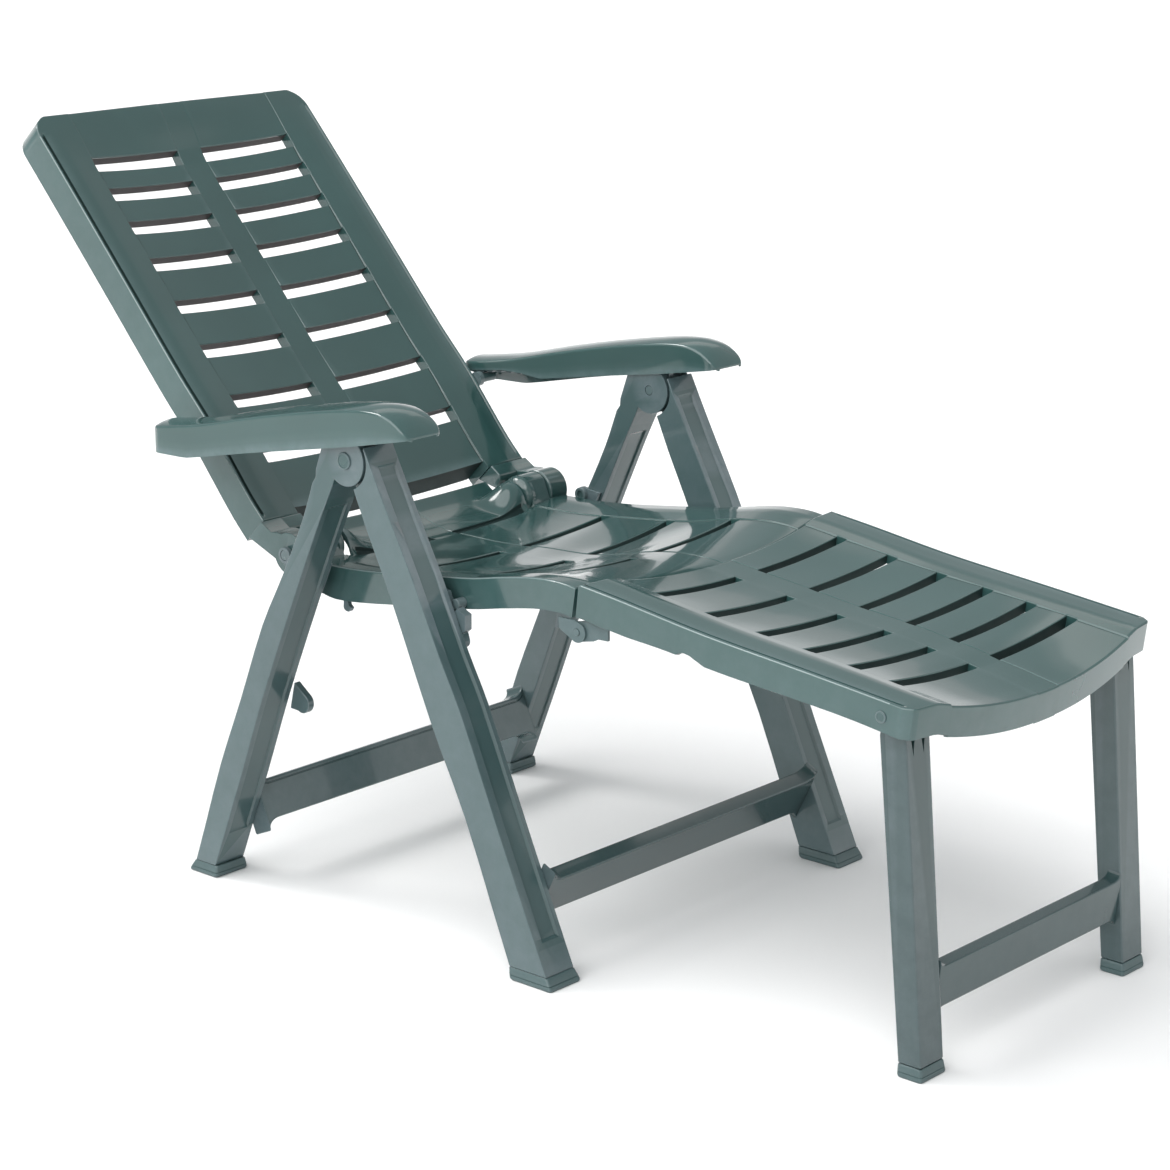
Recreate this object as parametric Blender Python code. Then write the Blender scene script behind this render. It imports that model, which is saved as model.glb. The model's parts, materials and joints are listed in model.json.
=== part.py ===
# Reclining sun lounger in moulded plastic: folding leg frame, seat, reclining back, armrests,
# hinged footrest and hinged support legs.  Metres, +Z up, floor at z = 0, the sitter faces -Y.
import math
import bmesh
import bpy
from mathutils import Matrix, Vector

# ---- driving dimensions -------------------------------------------------------------------
Y_SHIFT = -0.0516          # puts the middle of the footprint at y = 0
GAP = 0.0003               # clearance between touching pieces
SHELL = 0.0036             # wall thickness of the moulded panels
PIVOT = (0.112, 0.562)     # legs and armrest pivot (y, z)
HINGE = (0.268, 0.415)     # back and seat hinge
KNEE = (-0.183, 0.402)     # seat and footrest hinge
SUPPORT = (-0.5997, 0.3922)  # support leg hinge
LEG_IN, LEG_OUT = 0.2428, 0.2900      # leg frames, inner and outer faces (x)
ARM_IN, ARM_OUT = 0.2397, 0.3000      # armrest, inner and outer faces (x)
SEAT_W, BACK_W, FOOT_W = 0.2255, 0.2300, 0.2285   # half widths of the panels
SLOT_OUT, SLOT_IN = 0.168, 0.020      # ends of the slots (x)
PIN_R, PIN_PLAY = 0.0060, 0.0003
LEAN_REAR, LEAN_FRONT, LEAN_SUPPORT = 23.4, 26.0, 4.9   # leg lean from vertical, degrees
FOOT_H = 0.0150            # height of a foot cap
STUD = (0.4000, 0.5400)    # backrest stud that the armrest rests on
PEG = (-0.0100, 0.4050)    # seat peg that rests in the front leg's cradle

SIDES = (("right", -1.0), ("left", 1.0))

for old in list(bpy.data.objects):
    bpy.data.objects.remove(old, do_unlink=True)


def plastic(name, rgb, rough):
    m = bpy.data.materials.new(name)
    m.use_nodes = True
    b = m.node_tree.nodes["Principled BSDF"]
    b.inputs["Base Color"].default_value = (*rgb, 1.0)
    b.inputs["Roughness"].default_value = rough
    return m


GREEN = (0.035, 0.105, 0.088)
MATS = {
    "frame": plastic("frame_plastic", GREEN, 0.35),
    "panel": plastic("panel_plastic", (0.038, 0.112, 0.094), 0.30),
    "pin": plastic("pin_plastic", (0.030, 0.090, 0.076), 0.40),
    "foot": plastic("foot_plastic", (0.030, 0.092, 0.078), 0.45),
}


def finish(obj, mat, angle=32.0, origin=None):
    me = obj.data
    me.materials.clear()
    me.materials.append(MATS[mat])
    for p in me.polygons:
        p.use_smooth = True
    me.set_sharp_from_angle(angle=math.radians(angle))
    if origin is not None:
        o = Vector((0.0, origin[0] + Y_SHIFT, origin[1]))
        me.transform(back_to(o))
        obj.location = o
    return obj


def back_to(o):

    return Matrix.Translation(-o)


def add(name, bm):
    bmesh.ops.remove_doubles(bm, verts=bm.verts, dist=1e-7)
    bmesh.ops.recalc_face_normals(bm, faces=bm.faces)
    for v in bm.verts:
        v.co.y += Y_SHIFT
    me = bpy.data.meshes.new(name)
    bm.to_mesh(me)
    bm.free()
    obj = bpy.data.objects.new(name, me)
    bpy.context.scene.collection.objects.link(obj)
    return obj


def bake(obj):
    bpy.context.view_layer.update()
    graph = bpy.context.evaluated_depsgraph_get()
    me = bpy.data.meshes.new_from_object(obj.evaluated_get(graph))
    obj.modifiers.clear()
    obj.data = me
    return obj


def bevel(obj, width, seg=1, angle=38.0):
    m = obj.modifiers.new("bevel", "BEVEL")
    m.width = width
    m.segments = seg
    m.limit_method = "ANGLE"
    m.angle_limit = math.radians(angle)
    return bake(obj)


def join(base, others, op="UNION"):
    for o in others:
        m = base.modifiers.new("bool", "BOOLEAN")
        m.operation = op
        m.solver = "EXACT"
        m.object = o
    bake(base)
    for o in others:
        bpy.data.objects.remove(o, do_unlink=True)
    return base


def prism_bm(pts, x0, x1, bm=None):
    bm = bm or bmesh.new()
    a = [bm.verts.new((x0, y, z)) for y, z in pts]
    b = [bm.verts.new((x1, y, z)) for y, z in pts]
    n = len(pts)
    bm.faces.new(a)
    bm.faces.new(b[::-1])
    for i in range(n):
        bm.faces.new((a[i], a[(i + 1) % n], b[(i + 1) % n], b[i]))
    return bm


def prism(name, pts, x0, x1):
    return add(name, prism_bm(pts, x0, x1))


def rod(name, c, r, x0, x1, n=20):
    return prism(name, arc(c, r, 0, 360, n)[:-1], x0, x1)


def arc(c, r, a0, a1, n=12):
    return [(c[0] + r * math.cos(math.radians(a0 + (a1 - a0) * i / n)),
             c[1] + r * math.sin(math.radians(a0 + (a1 - a0) * i / n))) for i in range(n + 1)]


def bore(obj, c, r, x0, x1, n=20):
    return join(obj, [rod("cutter", c, r, x0, x1, n)], "DIFFERENCE")


class Line:
    """A smooth line through (y, z) points, by its length."""

    def __init__(self, pts):
        self.p = [Vector(p) for p in pts]
        self.s = [0.0]
        for a, b in zip(self.p, self.p[1:]):
            self.s.append(self.s[-1] + (b - a).length)
        self.length = self.s[-1]
        n = len(self.p)
        self.t = []
        for i in range(n):
            lo, hi = max(0, i - 1), min(n - 1, i + 1)
            self.t.append((self.p[hi] - self.p[lo]) / (self.s[hi] - self.s[lo]))

    def at(self, s):
        s = min(max(s, 0.0), self.length)
        i = max(k for k in range(len(self.s) - 1) if self.s[k] <= s + 1e-12)
        h = self.s[i + 1] - self.s[i]
        u = (s - self.s[i]) / h
        u2, u3 = u * u, u * u * u
        return (self.p[i] * (2 * u3 - 3 * u2 + 1) + self.t[i] * h * (u3 - 2 * u2 + u)
                + self.p[i + 1] * (3 * u2 - 2 * u3) + self.t[i + 1] * h * (u3 - u2))

    def down(self, s):
        a, b = self.at(s - 0.004), self.at(s + 0.004)
        d = (b - a).normalized()
        return Vector((-d.y, d.x)) if d.y * 0 + (-d.y * 0 + d.x) < 0 else Vector((d.y, -d.x))


def interp(x, table):
    if x <= table[0][0]:
        return table[0][1]
    for (a, fa), (b, fb) in zip(table, table[1:]):
        if x <= b:
            u = (x - a) / (b - a)
            u = u * u * (3 - 2 * u)
            return fa + (fb - fa) * u
    return table[-1][1]


def rounding(d, r):
    """How far a surface drops at a distance d from a rounded edge of radius r."""
    return 0.0 if d >= r else r - math.sqrt(max(0.0, r * r - (r - d) ** 2))


def panel(name, line, half_w, dish, slots, skirt, x_lines, s_lines, keep=None, corner=(0.0, 0.0),
          bow=None, lip=0.0085, edge_r=0.004, mat="panel", shell=SHELL, skirt_end=None):
    """A dished, slotted shell: a grid over the line and the width, without the slot cells,
    a skirt round its border and a short lip round each slot, given a wall thickness."""
    L = line.length
    xs = sorted({round(s * x, 6) for x in x_lines for s in (-1, 1)})
    ss = sorted({round(s, 6) for s in s_lines})
    bm = bmesh.new()

    def place(x, s):
        # half width at s, with rounded plan corners
        hw = half_w
        for end, rad in ((0.0, corner[0]), (L, corner[1])):
            d = abs(s - end)
            if rad and d < rad:
                hw = min(hw, half_w - rad + math.sqrt(max(0.0, rad * rad - (rad - d) ** 2)))
        ax = abs(x)
        if ax > SLOT_OUT:
            ax2 = SLOT_OUT + (ax - SLOT_OUT) * (hw - SLOT_OUT) / (half_w - SLOT_OUT)
        else:
            ax2 = ax
        edge = min(half_w - ax, s, L - s)
        q = line.at(s)
        n = line.down(s)
        off = dish(ax2, s) + rounding(max(edge, 0.0), edge_r)
        q = q + n * off
        sh = bow(ax2, s) if bow else (0.0, 0.0)
        return Vector((math.copysign(ax2, x), q.x + sh[0], q.y + sh[1])), n

    grid, info = {}, {}
    for i, x in enumerate(xs):
        for j, s in enumerate(ss):
            co, n = place(x, s)
            v = bm.verts.new(co)
            grid[i, j] = v
            info[v] = (x, s, n)
    for i in range(len(xs) - 1):
        for j in range(len(ss) - 1):
            cx, cs = (xs[i] + xs[i + 1]) / 2, (ss[j] + ss[j + 1]) / 2
            if any(a < abs(cx) < b and c < cs < d for a, b, c, d in slots):
                continue
            if keep and not keep(cx, cs):
                continue
            bm.faces.new((grid[i, j], grid[i + 1, j], grid[i + 1, j + 1], grid[i, j + 1]))
    for v in [v for v in bm.verts if not v.link_faces]:
        bm.verts.remove(v)
        info.pop(v, None)
    # borders
    border = [e for e in bm.edges if len(e.link_faces) == 1]
    in_slot = lambda v: any(a - 1e-6 <= abs(info[v][0]) <= b + 1e-6 and c - 1e-6 <= info[v][1] <= d + 1e-6
                            for a, b, c, d in slots)
    lower = {}
    for e in border:
        f = e.link_faces[0]
        for lp in f.loops:
            if lp.edge == e:
                a, b = lp.vert, lp.link_loop_next.vert
        hole = in_slot(a) and in_slot(b)
        for v in (a, b):
            if (v, hole) not in lower:
                x, s, n = info[v]
                d = lip if hole else skirt(x, s)
                lower[v, hole] = bm.verts.new(v.co + Vector((0.0, n.x, n.y)) * d)
        bm.faces.new((b, a, lower[a, hole], lower[b, hole]))
    bmesh.ops.recalc_face_normals(bm, faces=bm.faces)
    # the top must face away from the shell's inside
    tops = [f for f in bm.faces if abs(f.normal.x) < 0.5 and f.normal.z > 0.3]
    total = sum(f.normal.z * f.calc_area() for f in bm.faces if all(v in info for v in f.verts))
    if total < 0:
        bmesh.ops.reverse_faces(bm, faces=bm.faces)
    for v in bm.verts:
        v.co.y += Y_SHIFT
    me = bpy.data.meshes.new(name)
    bm.to_mesh(me)
    bm.free()
    obj = bpy.data.objects.new(name, me)
    bpy.context.scene.collection.objects.link(obj)
    m = obj.modifiers.new("wall", "SOLIDIFY")
    m.thickness = shell
    m.offset = -1.0
    m.use_even_offset = True
    m.use_quality_normals = True
    return bake(obj)


def edge_lines(half, r=0.004):
    return [half, half - 0.12 * r, half - 0.45 * r, half - r]


# ---- legs -----------------------------------------------------------------------------------
REAR_BACK = [(0.1517, 0.5724), (0.1660, 0.5290), (0.1846, 0.4812), (0.2200, 0.4100), (0.2578, 0.3412),
             (0.3005, 0.2397), (0.3402, 0.1489), (0.3840, 0.0300)]
REAR_FRONT = [(0.3490, 0.0300), (0.3048, 0.1376), (0.2615, 0.2477), (0.2088, 0.3687), (0.1580, 0.4796),
              (0.1330, 0.5300)]
FRONT_REAR = [(0.1015, 0.5285), (0.0809, 0.4900), (0.0396, 0.4070), (-0.0181, 0.2791), (-0.0713, 0.1743),
              (-0.1310, 0.0300)]
FRONT_FRONT = [(-0.1870, 0.0300), (-0.1701, 0.0673), (-0.1252, 0.1656), (-0.0653, 0.2996), (-0.0351, 0.3555),
               (0.0072, 0.4409), (0.0558, 0.5313), (0.0817, 0.5816)]


def slide(p, lean, z):
    """The point reached from p along a leg that leans by `lean` degrees, at height z."""
    return (p[0] + (p[1] - z) * math.tan(math.radians(lean)), z)


def rear_leg(side, sx):
    z0 = FOOT_H + GAP
    outline = REAR_BACK[1:-1] + [slide(REAR_BACK[-1], 22.5, z0), slide(REAR_FRONT[0], 21.5, z0)] + REAR_FRONT[1:]
    outline += arc(PIVOT, 0.0325, -54, -8, 6)
    bar = prism("rear_leg_" + side, outline, sx * LEG_IN, sx * LEG_OUT)
    bar = bevel(bar, 0.003, 1)
    ear = (arc(PIVOT, 0.030, 40, 306, 26)
           + [(0.1450, 0.5060), (0.1640, 0.4930), (0.1600, 0.5450), (0.1480, 0.5780)])
    ears = [prism("ear_a", ear, sx * 0.2792, sx * LEG_OUT), prism("ear_b", ear, sx * LEG_IN, sx * 0.2540)]
    bar = join(bar, ears)
    bar = bore(bar, PIVOT, PIN_R + PIN_PLAY, sx * 0.23, sx * 0.30)
    return finish(bar, "frame", origin=PIVOT)


def front_leg(side, sx):
    z0 = FOOT_H + GAP
    outline = (FRONT_REAR[1:-1] + [slide(FRONT_REAR[-1], -24.0, z0), slide(FRONT_FRONT[0], -25.0, z0)]
               + FRONT_FRONT[1:] + arc(PIVOT, 0.0335, 149, 248, 10))
    bar = prism("front_leg_" + side, outline, sx * LEG_IN, sx * LEG_OUT)
    bar = bevel(bar, 0.003, 1)
    tongue = (arc(PIVOT, 0.0265, -100, 150, 22)
              + [(0.0790, 0.5560), (0.0600, 0.5150), (0.0780, 0.4950), (0.1000, 0.5100)])
    bar = join(bar, [prism("tongue", tongue, sx * 0.2622, sx * 0.2785)])
    bar = bore(bar, PIVOT, PIN_R + PIN_PLAY, sx * 0.23, sx * 0.30)
    return finish(bar, "frame", origin=PIVOT)


def foot(name, y0, y1, x0, x1, sx, top_y0, top_y1, flare=0.0025):
    """A flared cap: its sole is wider than the leg, its top just covers the leg's end."""
    bm = bmesh.new()
    rings = ((0.0, flare * 0.6), (0.0025, flare), (FOOT_H - 0.002, 0.0006), (FOOT_H, 0.0))
    vs = []
    for z, f in rings:
        u = z / FOOT_H
        a, b = y0 + (top_y0 - y0) * u - f, y1 + (top_y1 - y1) * u + f
        vs.append([bm.verts.new((sx * x, y, z)) for x, y in
                   ((x0 - f, a), (x1 + f, a), (x1 + f, b), (x0 - f, b))])
    bm.faces.new(vs[0][::-1])
    bm.faces.new(vs[-1])
    for lo, hi in zip(vs, vs[1:]):
        for i in range(4):
            bm.faces.new((lo[i], lo[(i + 1) % 4], hi[(i + 1) % 4], hi[i]))
    return finish(add(name, bm), "foot")


def stretcher(name, centre, lean, half_len, thick, half_h, flare=0.013, mat="frame"):
    """A cross bar whose height grows in a fillet where it meets the legs."""
    bm = bmesh.new()
    t = math.radians(lean)
    up = Vector((-math.sin(t), math.cos(t)))      # along the leg
    fw = Vector((-math.cos(t), -math.sin(t)))     # towards the front
    ends = [(half_len, flare), (half_len - 0.003, flare * 0.62), (half_len - 0.008, flare * 0.28),
            (half_len - 0.014, flare * 0.07), (half_len - 0.020, 0.0)]
    xs = [(-x, f) for x, f in ends] + [(x, f) for x, f in reversed(ends)]
    c = Vector(centre)
    rows = []
    for x, f in xs:
        h = half_h + f
        pts = [c + up * h + fw * thick / 2, c - up * h + fw * thick / 2,
               c - up * h - fw * thick / 2, c + up * h - fw * thick / 2]
        rows.append([bm.verts.new((x, p.x, p.y)) for p in pts])
    bm.faces.new(rows[0])
    bm.faces.new(rows[-1][::-1])
    for lo, hi in zip(rows, rows[1:]):
        for i in range(4):
            bm.faces.new((lo[i], lo[(i + 1) % 4], hi[(i + 1) % 4], hi[i]))
    return add(name, bm)


for side, sx in SIDES:
    rear_leg(side, sx)
    front_leg(side, sx)
    foot("rear_foot_" + side, 0.3535, 0.3985, LEG_IN, LEG_OUT, sx, 0.3515, 0.3920)
    foot("front_foot_" + side, -0.2010, -0.1430, LEG_IN, LEG_OUT, sx, -0.1950, -0.1365)

finish(bevel(stretcher("rear_stretcher", (0.3320, 0.0895), LEAN_REAR * -1, LEG_IN - GAP, 0.0300, 0.0250), 0.0025, 1),
       "frame", origin=PIVOT)
finish(bevel(stretcher("front_stretcher", (-0.1400, 0.0890), LEAN_FRONT, LEG_IN - GAP, 0.0200, 0.0265), 0.0025, 1),
       "frame", origin=PIVOT)

# ---- leg fittings ----------------------------------------------------------------------------
for side, sx in SIDES:
    # leg pivot pin with a round head outside the leg
    pin = rod("leg_pivot_pin_" + side, PIVOT, PIN_R, sx * 0.2432, sx * 0.2915)
    pin = join(pin, [rod("head", PIVOT, 0.0102, sx * (LEG_OUT + GAP), sx * 0.2925)])
    finish(pin, "pin", origin=PIVOT)
    # plate from the rear leg back to the seat and back hinge
    plate = ([(0.1900, 0.4180), (0.2080, 0.4200)] + arc((0.2185, 0.4125), 0.0095, 100, -20, 8)
             + [(0.2350, 0.4020), (0.2480, 0.4030)] + arc(HINGE, 0.0100, 175, -90, 12)
             + [(0.2620, 0.3960), (0.2450, 0.3850), (0.2250, 0.3780), (0.2080, 0.3800)])
    p = prism("hinge_plate_" + side, plate, sx * 0.2368, sx * (LEG_IN - GAP))
    bore(p, HINGE, PIN_R + PIN_PLAY, sx * 0.23, sx * 0.25)
    finish(p, "frame", origin=PIVOT)
    ring = rod("hinge_plate_rivet_" + side, (0.2185, 0.4125), 0.0090, sx * 0.2318, sx * (0.2368 - GAP), 24)
    bore(ring, (0.2185, 0.4125), 0.0048, sx * 0.2300, sx * 0.2345, 20)
    finish(ring, "pin", origin=PIVOT)
    pin = rod("seat_hinge_pin_" + side, HINGE, PIN_R, sx * 0.1700, sx * 0.2424)
    finish(pin, "pin", origin=HINGE)
    # rounded lug low on the rear leg's inside
    lug = ([(0.2560, 0.2600)] + arc((0.2440, 0.2360), 0.0125, 120, 300, 12) + [(0.2640, 0.2260)])
    finish(bevel(prism("rear_leg_lug_" + side, lug, sx * 0.2330, sx * (LEG_IN - GAP)), 0.001, 1),
           "frame", origin=PIVOT)
    # cradle on the front leg's inside that the seat peg rests in
    c = PEG
    cradle = ([(-0.0290, 0.3960)] + [(-0.0225, 0.3985)] + arc(c, 0.0070, 200, 350, 12)
              + [(0.0035, 0.4180), (0.0210, 0.4210), (0.0240, 0.4100), (0.0080, 0.3760), (-0.0010, 0.3620)]
              + arc((-0.0180, 0.3630), 0.0085, -20, -190, 10) + [(-0.0235, 0.3735), (-0.0290, 0.3780)])
    finish(prism("seat_cradle_" + side, cradle, sx * 0.2312, sx * (LEG_IN - GAP)), "frame", origin=PIVOT)

# ---- armrests --------------------------------------------------------------------------------
ARM_TOP = [(0.0034, 0.6040), (0.0125, 0.6117), (0.0279, 0.6208), (0.0514, 0.6266), (0.0912, 0.6244),
           (0.1729, 0.6106), (0.2575, 0.5929), (0.3450, 0.5721), (0.4000, 0.5625), (0.4313, 0.5580)]
ARM_OUT_BOTTOM = [(0.0034, 0.6020), (0.0923, 0.5829), (0.1744, 0.5672), (0.2592, 0.5511), (0.3433, 0.5337),
                  (0.3737, 0.5279), (0.4313, 0.5266)]
ARM_IN_BOTTOM = [(0.0034, 0.6020), (0.0923, 0.5860), (0.1744, 0.5730), (0.2300, 0.5640), (0.2950, 0.5530),
                 (0.3300, 0.5560), (0.3600, 0.5560), (0.4313, 0.5470)]


def armrest(side, sx):
    line = Line(ARM_TOP)
    L = line.length
    n = 22
    ss = [0.0, 0.0015, 0.0045, 0.009] + [0.009 + (L - 0.018) * k / n for k in range(1, n)] + [L - 0.009, L - 0.0045, L - 0.0015, L]
    mid, half = (ARM_IN + ARM_OUT) / 2, (ARM_OUT - ARM_IN) / 2
    us = [-1.0, -0.97, -0.88, -0.72, -0.4, 0.0, 0.4, 0.72, 0.88, 0.97, 1.0]
    bm = bmesh.new()
    grid = {}
    for i, u in enumerate(us):
        for j, s in enumerate(ss):
            q = line.at(s)
            r_front, r_back = 0.020, 0.012
            hw = half
            if s < r_front:
                hw = half - 0.010 + 0.5 * math.sqrt(max(0.0, r_front ** 2 - (r_front - s) ** 2))
            if L - s < r_back:
                hw = half - r_back * 0.5 + 0.5 * math.sqrt(max(0.0, r_back ** 2 - (r_back - (L - s)) ** 2))
            e = min((1 - abs(u)) * half, L - s)
            crown = 0.0055 * (1 - u * u) * min(1.0, s / 0.03) - rounding(max(e, 0.0), 0.004)
            grid[i, j] = bm.verts.new((sx * (mid + u * hw), q.x, q.y + crown))
    ni, nj = len(us), len(ss)
    for i in range(ni - 1):
        for j in range(nj - 1):
            bm.faces.new((grid[i, j], grid[i + 1, j], grid[i + 1, j + 1], grid[i, j + 1]))

    def low(i, j):
        y = grid[i, j].co.y
        t = i / (ni - 1)
        zo, zi = interp(y, ARM_OUT_BOTTOM), interp(y, ARM_IN_BOTTOM)
        z = zi + (zo - zi) * t
        return min(z, grid[i, j].co.z - 0.0015)

    ring = ([(i, 0) for i in range(ni)] + [(ni - 1, j) for j in range(1, nj)]
            + [(i, nj - 1) for i in range(ni - 2, -1, -1)] + [(0, j) for j in range(nj - 2, 0, -1)])
    lows = []
    for i, j in ring:
        v = grid[i, j]
        if 0 < i < ni - 1:
            z = low(0, j) if us[i] < 0 else low(ni - 1, j)
            z = low(0, j) + (low(ni - 1, j) - low(0, j)) * i / (ni - 1)
        else:
            z = low(i, j)
        lows.append(bm.verts.new((v.co.x, v.co.y, min(z, v.co.z - 0.0015))))
    for k in range(len(ring)):
        a, b = grid[ring[k]], grid[ring[(k + 1) % len(ring)]]
        bm.faces.new((a, b, lows[(k + 1) % len(ring)], lows[k]))
    obj = add("armrest_" + side, bm)
    me = obj.data
    if sum(p.normal.z * p.area for p in me.polygons) < 0:
        me.flip_normals()
    m = obj.modifiers.new("wall", "SOLIDIFY")
    m.thickness = 0.0024
    m.offset = -1.0
    m.use_even_offset = True
    m.use_quality_normals = True
    bake(obj)
    return finish(obj, "panel", origin=PIVOT)


for side, sx in SIDES:
    armrest(side, sx)
    # hanging lug with the bore for the leg pivot
    lug = arc(PIVOT, 0.0240, 180, 360, 16) + [(0.1360, 0.6080), (0.0880, 0.6160)]
    p = prism("armrest_lug_" + side, lug, sx * 0.2545, sx * 0.2618)
    bore(p, PIVOT, PIN_R + PIN_PLAY, sx * 0.25, sx * 0.27)
    finish(p, "frame", origin=PIVOT)

# ---- backrest --------------------------------------------------------------------------------
BACK_LINE = [(0.3160, 0.4470), (0.3411, 0.4724), (0.3714, 0.5080), (0.4123, 0.5560), (0.4609, 0.6060),
             (0.5656, 0.7220), (0.6725, 0.8395), (0.7266, 0.8980)]
BACK_S = (0.598, 0.552, 0.500, 0.443, 0.378, 0.311, 0.2345, 0.154)   # upper edges of the slots, from the hinge
SLOT_H_BACK = 0.0200
back_line = Line(BACK_LINE)
BACK_OFF = 0.0560          # length from the hinge to the foot of the line


def back_dish(x, s):
    d = 0.0165 * max(0.0, 1 - (x / 0.200) ** 2)
    fade = min(1.0, max(0.0, (back_line.length - s) / 0.100))
    return d * fade * fade * (3 - 2 * fade)


slots = [(SLOT_IN, SLOT_OUT, s - SLOT_H_BACK - BACK_OFF, s - BACK_OFF) for s in BACK_S]
L = back_line.length
x_cols = edge_lines(BACK_W) + [0.205, 0.185, SLOT_OUT, 0.130, 0.092, 0.055, SLOT_IN, 0.0]
s_rows = ([0.0, 0.0005, 0.0018, 0.004] + [v for a, b, c, d in slots for v in (c, d)]
          + [(slots[k][2] + slots[k + 1][3]) / 2 for k in range(7)]
          + [0.040, 0.066, L - 0.004, L - 0.0018, L - 0.0005, L]
              + [L - 0.008, L - 0.014, L - 0.021, L - 0.030] + [0.012])
back = panel("backrest_panel", back_line, BACK_W, back_dish, slots, lambda x, s: 0.0400,
             x_cols, s_rows, keep=lambda x, s: not (abs(x) < SLOT_OUT - 0.001 and s < 0.0118), corner=(0.0, 0.030))
finish(back, "panel", origin=HINGE)

for side, sx in SIDES:
    a, n = back_line.at(0.0), back_line.down(0.0)
    t = Vector((-n.y, n.x))
    q0 = a - t * (GAP + 0.0004)
    q1 = q0 + n * 0.0325
    neck = [tuple(q0), (0.3020, 0.4370), (0.2850, 0.4370), (0.2700, 0.4200), (0.2800, 0.4050), (0.2950, 0.4030), tuple(q1)]
    lug = ([tuple(q0), (0.3040, 0.4380)] + arc(HINGE, 0.0260, 55, 330, 30) + [(0.3050, 0.4080), tuple(q1)])
    lug = [tuple(q0), (0.2995, 0.4370), (0.2890, 0.4385)] + arc(HINGE, 0.0260, 62, 338, 30) + [(0.3000, 0.4085), tuple(q1)]
    knuckle = prism("backrest_hinge_lug_" + side, lug, sx * 0.2018, sx * 0.2344)
    web = [tuple(q0), (0.3000, 0.4365), (0.2985, 0.4300), (0.3010, 0.4110), tuple(q1)]
    knuckle = join(knuckle, [prism("web", web, sx * 0.1685, sx * 0.2100)])
    bore(knuckle, HINGE, PIN_R + PIN_PLAY, sx * 0.19, sx * 0.24)
    finish(knuckle, "panel", origin=HINGE)
    stud = rod("backrest_stud_" + side, STUD, 0.0060, sx * (BACK_W + GAP), sx * 0.2640, 24)
    stud = join(stud, [rod("boss", STUD, 0.0095, sx * (BACK_W + GAP), sx * 0.2380, 24)])
    finish(stud, "pin", origin=HINGE)

# notched bar inside each armrest that catches the backrest stud
REST_TURN = 10.0


def stud_path(t):
    """The stud's place in the armrest's frame, with the back raised by t of its whole travel."""
    y, z = STUD[0] - HINGE[0], STUD[1] - HINGE[1]
    a = math.radians(26.0 * t)
    y, z = HINGE[0] + y * math.cos(a) - z * math.sin(a), HINGE[1] + y * math.sin(a) + z * math.cos(a)
    y, z = y - PIVOT[0], z - PIVOT[1]
    a = math.radians(-REST_TURN * t)
    return PIVOT[0] + y * math.cos(a) - z * math.sin(a), PIVOT[1] + y * math.sin(a) + z * math.cos(a)


for side, sx in SIDES:
    under = []
    steps = 24
    for k in range(steps + 1):
        y, z = stud_path(1.0 - k / steps)
        tooth = 0.0009 if (k % 6) < 3 else 0.0028
        under.append((y, z + 0.0060 + tooth))
    y, z = STUD
    hook = arc(STUD, 0.0068, 60, -25, 6)
    top = [(y + 0.0165, z + 0.0030), (y + 0.0150, z + 0.0095), (0.3340, 0.5640), (0.3180, 0.5660)]
    bar = under + hook[1:] + [(y + 0.0120, z - 0.0040)] + top
    finish(prism("armrest_notch_bar_" + side, bar, sx * 0.2450, sx * 0.2600), "frame", origin=PIVOT)

# ---- seat ------------------------------------------------------------------------------------
SEAT_LINE = [(0.3060, 0.4240), (0.2800, 0.4140), (0.2500, 0.4105), (0.2200, 0.4110), (0.1735, 0.4125),
             (0.1234, 0.4169), (0.0500, 0.4262), (-0.0212, 0.4355), (-0.0678, 0.4448), (-0.1135, 0.4525),
             (-0.1434, 0.4547), (-0.1657, 0.4541), (-0.1805, 0.4520)]
seat_line = Line(SEAT_LINE)
SEAT_SLOT_Y = ((0.2300, 0.2440), (0.1120, 0.1270), (0.0060, 0.0210), (-0.0960, -0.0810))


def s_at(line, y):
    lo, hi = 0.0, line.length
    for _ in range(40):
        m = (lo + hi) / 2
        if line.at(m).x > y:
            lo = m
        else:
            hi = m
    return (lo + hi) / 2


def seat_dish(x, s):
    y = seat_line.at(s).x
    d = interp(y, ((-0.180, 0.0190), (-0.080, 0.0185), (0.014, 0.0215), (0.110, 0.0155), (0.235, 0.0120), (0.306, 0.0080)))
    return d * max(0.0, 1 - (x / 0.200) ** 2)


def seat_bow(x, s):
    y = seat_line.at(s).x
    u = max(0.0, min(1.0, (-0.120 - y) / 0.060))
    return (-0.0150 * u * u * (3 - 2 * u) * max(0.0, 1 - (x / FOOT_W) ** 2), 0.0)


SL = seat_line.length
seat_slots = [(SLOT_IN, SLOT_OUT, s_at(seat_line, b), s_at(seat_line, a)) for a, b in SEAT_SLOT_Y[1:]]
mid_slots = [(SLOT_IN, 0.1560, s_at(seat_line, 0.2400), s_at(seat_line, 0.2280))]
s_tail = s_at(seat_line, 0.2385)
x_cols = edge_lines(SEAT_W) + [0.200, SLOT_OUT, 0.1560, 0.125, 0.090, 0.055, SLOT_IN, 0.0]
s_rows = ([0.0, 0.0005, 0.0018, 0.004, 0.022, 0.045, s_tail, s_tail + 0.004, s_tail + 0.0018, s_tail + 0.02]
          + [v for a, b, c, d in seat_slots for v in (c, d, (c + d) / 2 + 0.030, (c + d) / 2 + 0.060)]
          + [0.100, 0.125] + [SL - 0.040, SL - 0.020, SL - 0.004, SL - 0.0018, SL - 0.0005, SL])


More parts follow.
